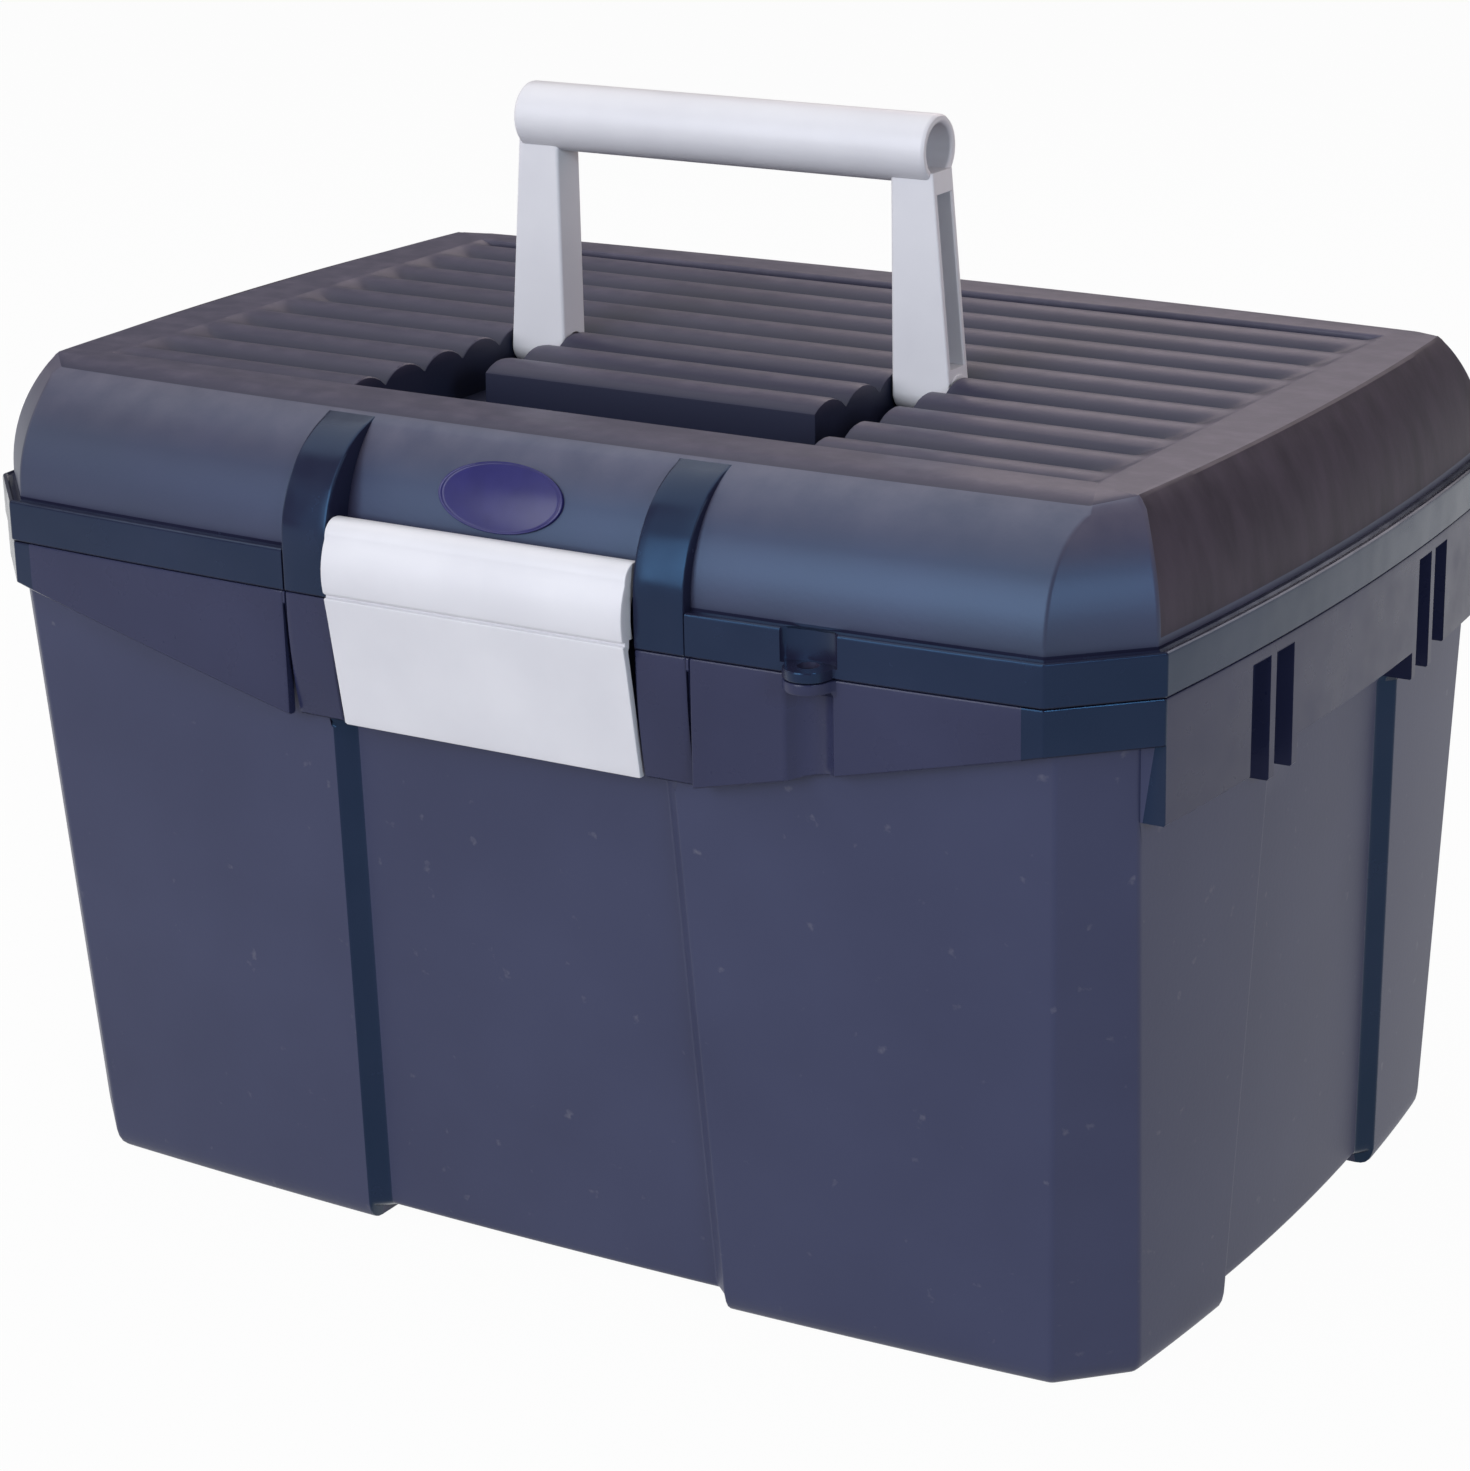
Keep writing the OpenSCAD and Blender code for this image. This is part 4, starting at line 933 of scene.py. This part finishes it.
def latch_skin():
    skin = Skin()

    def belly(z, wall=0.0):
        """Front of the round upper part at a height, or a layer inside it."""
        return LATCH_FRONT + BELLY_R - sqrt((BELLY_R - wall) ** 2 - (z - LATCH_BELLY) ** 2)
    flap_y = belly(GROOVE_Z)
    # front, downwards: barrel, belly, groove, flap; then the back, upwards
    turns = [radians(-60 + k * 12) for k in range(21)]
    section = [(LATCH_Y + BARREL_R * cos(t), LATCH_Z + BARREL_R * sin(t)) for t in turns]
    section += [(belly(z), z) for z in (219.6, 218, 216.4, 214.8, 213.2, 211.6, 210, 208.6, 207.5, 206.6)]
    for drop, back in ((-1.0, 0.04), (-0.7, 0.2), (-0.5, 0.55)):
        section.append((belly(GROOVE_Z - drop) + back, GROOVE_Z - drop))
    for drop, back in ((-0.35, 1.0), (0.35, 1.0), (0.45, 0.5), (0.65, 0.12), (1.1, 0.0)):
        section.append((flap_y + back, GROOVE_Z - drop))
    fall = FLAP_TOP - FLAP_LOW
    for t in (0.15, 0.3, 0.45, 0.6, 0.75, 0.9, 0.985):
        section.append((flap_y + FLAP_RUN * t, FLAP_TOP - fall * t))
    for back, rise in ((0.25, 0.12), (0.7, 0), (1.9, 0), (2.4, 0.15), (FLAP_WALL, 0.6)):
        section.append((flap_y + FLAP_RUN + back, FLAP_LOW + rise))
    for t in (0.9, 0.6, 0.3, 0.05):
        section.append((flap_y + FLAP_WALL + FLAP_RUN * t, FLAP_TOP - fall * t))
    section += [(flap_y + 3.4, 203.4), (flap_y + 3.6, 206.6)]
    section += [(belly(z, FLAP_WALL), z) for z in (208.2, 210.5, 213, 215.5, 217)]
    skin.bar(section, -49.8, 49.8, 0, 0.75)
    # cheeks that close its ends towards the straps
    levels = (205.6, 208, 210.5, 213, 215.5, 218)
    cheek = [(belly(z, 1.2), z) for z in levels] + [(belly(z, 5.2), z) for z in reversed(levels)]
    for x in (-49.6, 48.1):
        skin.bar(cheek, x, x + 1.5, 0, 0.2)
    # bar behind the flap that hooks under the catch
    hook = [(-144.5, 190.0), (-144.5, 194.0), (-139.7, 194.0), (-139.35, 193.6), (-139.35, 190.4),
        (-139.7, 190.0)]
    skin.bar(hook, -25.3, 25.3, 0, 0.5)
    return skin


moulding("latch_plate", latch_skin(), [light_grey], "latch", "latch", 28)


# Badge

BADGE_HALF_X, BADGE_HALF_Z, BADGE_Z = 20.5, 10.0, PARTING + 32.5


def badge_skin():
    """An oval plate bent to the latch bay, with a raised rim round a slightly crowned face."""
    skin = Skin()
    tilt = asin((BADGE_Z - SHOULDER) / BAY_R)
    steps = 72

    def ellipse(scale, rise):
        points = []
        for k in range(steps):
            t = 2 * pi * k / steps
            x, s = BADGE_HALF_X * scale * cos(t), BADGE_HALF_Z * scale * sin(t)
            turn = tilt + s / BAY_R
            r = BAY_R + rise
            bow = LIP_HALF_Y - LIP.front(x, 0)
            points.append((x, -LIP_HALF_Y + BAY_BACK + BAY_R - r * cos(turn) + bow, SHOULDER + r * sin(turn)))
        return points
    rows = [(1.0, -0.4), (1.0, 0.55), (0.993, 0.78), (0.98, 0.88), (0.965, 0.88), (0.952, 0.78), (0.94, 0.6),
        (0.925, 0.52), (0.9, 0.54), (0.7, 0.72), (0.5, 0.84), (0.25, 0.92), (0.06, 0.94)]
    skin.stack([ellipse(scale, rise) for scale, rise in rows], 0)
    return skin


moulding("oval_badge", badge_skin(), [lacquered], "lid", "badge")


# Tray

TRAY_LOW, TRAY_FLOOR, TRAY_TOP, TRAY_TAPER = 144.0, 146.0, 194.0, 8.0
CROSS_WALL_X = 58.4


def tray_skin():
    skin = Skin()
    top = Outline(183.3, 128.0, 18.2)
    half_x = [0, 20, 40, 57.3, 57.5, 57.7, 58.4, 59.1, 59.3, 59.5, 75, 90, 105, 120, 132, 140, 146]
    half_y = [0, 0.6, 1.05, 1.2, 1.5, 15, 30, 45, 60, 72, 82, 88]
    across, along = mirrored([(x,) for x in half_x]), mirrored([(y,) for y in half_y])
    rings = []
    for z, inset in ((TRAY_FLOOR, 5.0), (146.3, 3.4), (147.6, 2.3), (150, 2.0), (170, 2.0), (190, 2.0),
            (193.6, 2.0), (193.92, 1.7), (TRAY_TOP, 1.2), (TRAY_TOP, 0.8), (193.92, 0.3), (193.6, 0.0),
            (185, 0.0), (165, 0.0), (148, 0.0), (145.2, 0.3), (144.3, 1.2), (TRAY_LOW, 2.6)):
        gone = inset + TRAY_TAPER * (TRAY_TOP - z) / (TRAY_TOP - TRAY_LOW)
        rings.append(even_ring(top, across, along, z, [gone] * 3, 2.0 if inset > 1 else 3.0))
    first, last = skin.levels(rings, 0)

    def floor(x, y):
        """The floor with its two cross walls, which leave a slot for the carrying wall."""
        off = abs(abs(x) - CROSS_WALL_X)
        if off >= 1.0 or abs(y) <= 1.1:
            return TRAY_FLOOR
        return 190.9 if off < 0.75 else 190.4
    skin.cap(first, [s[0] for s in across], [s[0] for s in along], floor, 0)
    skin.cap(last, [s[0] for s in across], [s[0] for s in along], lambda x, y: TRAY_LOW, 0)
    return skin


def carrying_wall_skin():
    """Plate that slides between the cross walls of the tray."""
    skin = Skin()
    foot, top = 173.1, 180.9
    outline = [(-foot, TRAY_FLOOR), (foot, TRAY_FLOOR), (top, TRAY_TOP), (-top, TRAY_TOP)]
    skin.stack([[(x, y, z) for x, z in shrunk(outline, inset)] for y, inset in
        ((-1.0, 0.3), (-0.9, 0.08), (-0.7, 0.0), (0.7, 0.0), (0.9, 0.08), (1.0, 0.3))], 0)
    return skin


moulding("lift_out_tray", tray_skin(), [light_grey], "tray", "tray")
carrier = moulding("carrying_wall", carrying_wall_skin(), [light_grey], "tray",
    "tray_carrier")
# a slot with rounded corners for the fingers
hand_slot, outline = Skin(), []
for x, z, start in ((36, 180, 0), (-36, 180, 90), (-36, 168, 180), (36, 168, 270)):
    turns = [radians(start + k * 15) for k in range(7)]
    outline += [(x + 4 * cos(t), z + 4 * sin(t)) for t in turns]
hand_slot.stack([[(x, y, z) for x, z in outline] for y in (-3.0, 3.0)], 0)
cut_away(carrier, hand_slot)


# Pins, which keep the shape they are packed with

for name in ("handle_pin_left", "handle_pin_right", "latch_pin", "hinge_pin_left", "hinge_pin_right"):
    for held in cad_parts[name].material_slots:
        held.material = drawn_steel


# Studio

def softbox(name, place, aim, width, height, power, tint):
    """A lamp with a flat, evenly lit face that points at a place."""
    lamp = bpy.data.lights.new(name, "AREA")
    lamp.shape, lamp.size, lamp.size_y, lamp.energy = "RECTANGLE", width, height, power
    lamp.color = colour(tint)[:3]
    holder = placed(name, lamp)
    holder.location = place
    holder.visible_camera = False
    holder.rotation_mode = "QUATERNION"
    holder.rotation_quaternion = (Vector(aim) - Vector(place)).to_track_quat("-Z", "Y")


softbox("overhead_softbox", (-0.55, 0.15, 1.7), (0, 0, 0.2), 1.5, 1.5, 9.5, "#ffffff")
softbox("rear_softbox", (0.0, 1.3, 1.1), (0, 0, 0.25), 1.6, 0.7, 8, "#ffeeec")
softbox("high_front_softbox", (-0.2, -0.85, 1.3), (0, 0, 0.25), 0.9, 0.6, 2.5, "#ffffff")
softbox("front_softbox", (-1.0, -2.95, 1.3), (0, 0, 0.2), 1.6, 2.0, 54, "#f2f5ff")
softbox("near_softbox", (-0.1, -3.0, 1.1), (0, 0, 0.2), 1.0, 1.2, 12, "#eaf3ff")
softbox("left_softbox", (-1.6, -0.6, 0.8), (0, 0, 0.2), 1.0, 0.8, 4, "#fff8f6")
softbox("right_softbox", (1.7, 0.35, 0.8), (0, 0, 0.2), 0.9, 0.8, 4.3, "#ffd6d0")
softbox("corner_softbox", (1.4, -0.84, 0.73), (0, 0, 0.2), 0.4, 0.4, 7, "#d8ecff")

world = bpy.data.worlds.new("studio_walls")
bpy.context.scene.world = world
world.use_nodes = True
join(world, world.node_tree.nodes["Background"], {"Color": colour("#ffffff"), "Strength": 0.2})

# White paper floor: matt, and bright enough to camera to lose its edge but keep the shadow.
paper = bpy.data.materials.new("white_paper_matt")
paper.use_nodes = True
shader = paper.node_tree.nodes["Principled BSDF"]
join(paper, shader, {"Base Color": colour("#b4b4b4"), "Roughness": 0.9})
ray = add(paper, "LightPath", {})
seen = add(paper, "Math", {0: ray.outputs["Is Camera Ray"], 1: ray.outputs["Is Glossy Ray"]},
    operation="MAXIMUM")
seen = add(paper, "Math", {0: seen.outputs["Value"], 1: ray.outputs["Is Transmission Ray"]},
    operation="MAXIMUM")
glow = add(paper, "Emission", {"Color": colour("#ffffff"), "Strength": 1.0})
share = add(paper, "Math", {0: seen.outputs["Value"], 1: 0.97}, operation="MULTIPLY")
mixed = add(paper, "MixShader", {0: share.outputs["Value"], 1: shader.outputs["BSDF"],
    2: glow.outputs["Emission"]})
join(paper, paper.node_tree.nodes["Material Output"], {"Surface": mixed.outputs["Shader"]})
floor_mesh = bpy.data.meshes.new("paper_floor")
floor_mesh.from_pydata([(-40, -40, 0), (40, -40, 0), (40, 40, 0), (-40, 40, 0)], [], [(0, 1, 2, 3)])
floor_mesh.materials.append(paper)
floor = placed("paper_floor", floor_mesh)


# Camera, where the photograph was taken from

PHOTO_WIDTH = 1470
VIEWPOINT = (0.5813, -0.95, 0.5031)
turn, look_down, roll = radians(30.2), radians(19.24), radians(-0.69)
back = (sin(turn) * cos(look_down), -cos(turn) * cos(look_down), sin(look_down))
right = (cos(turn), sin(turn), 0.0)
up = Vector(back).cross(Vector(right))
across_view = [cos(roll) * r + sin(roll) * u for r, u in zip(right, up)]
up_view = [-sin(roll) * r + cos(roll) * u for r, u in zip(right, up)]
lens = bpy.data.cameras.new("studio_camera")
lens.sensor_fit, lens.sensor_width, lens.lens = "HORIZONTAL", 36.0, 92.59
lens.shift_x, lens.shift_y = -100 / PHOTO_WIDTH, 40 / PHOTO_WIDTH
camera = placed("studio_camera", lens)
camera.matrix_world = Matrix([*zip(across_view, up_view, back, VIEWPOINT), (0, 0, 0, 1)])
bpy.context.scene.camera = camera
bpy.context.scene.view_settings.view_transform = "Standard"
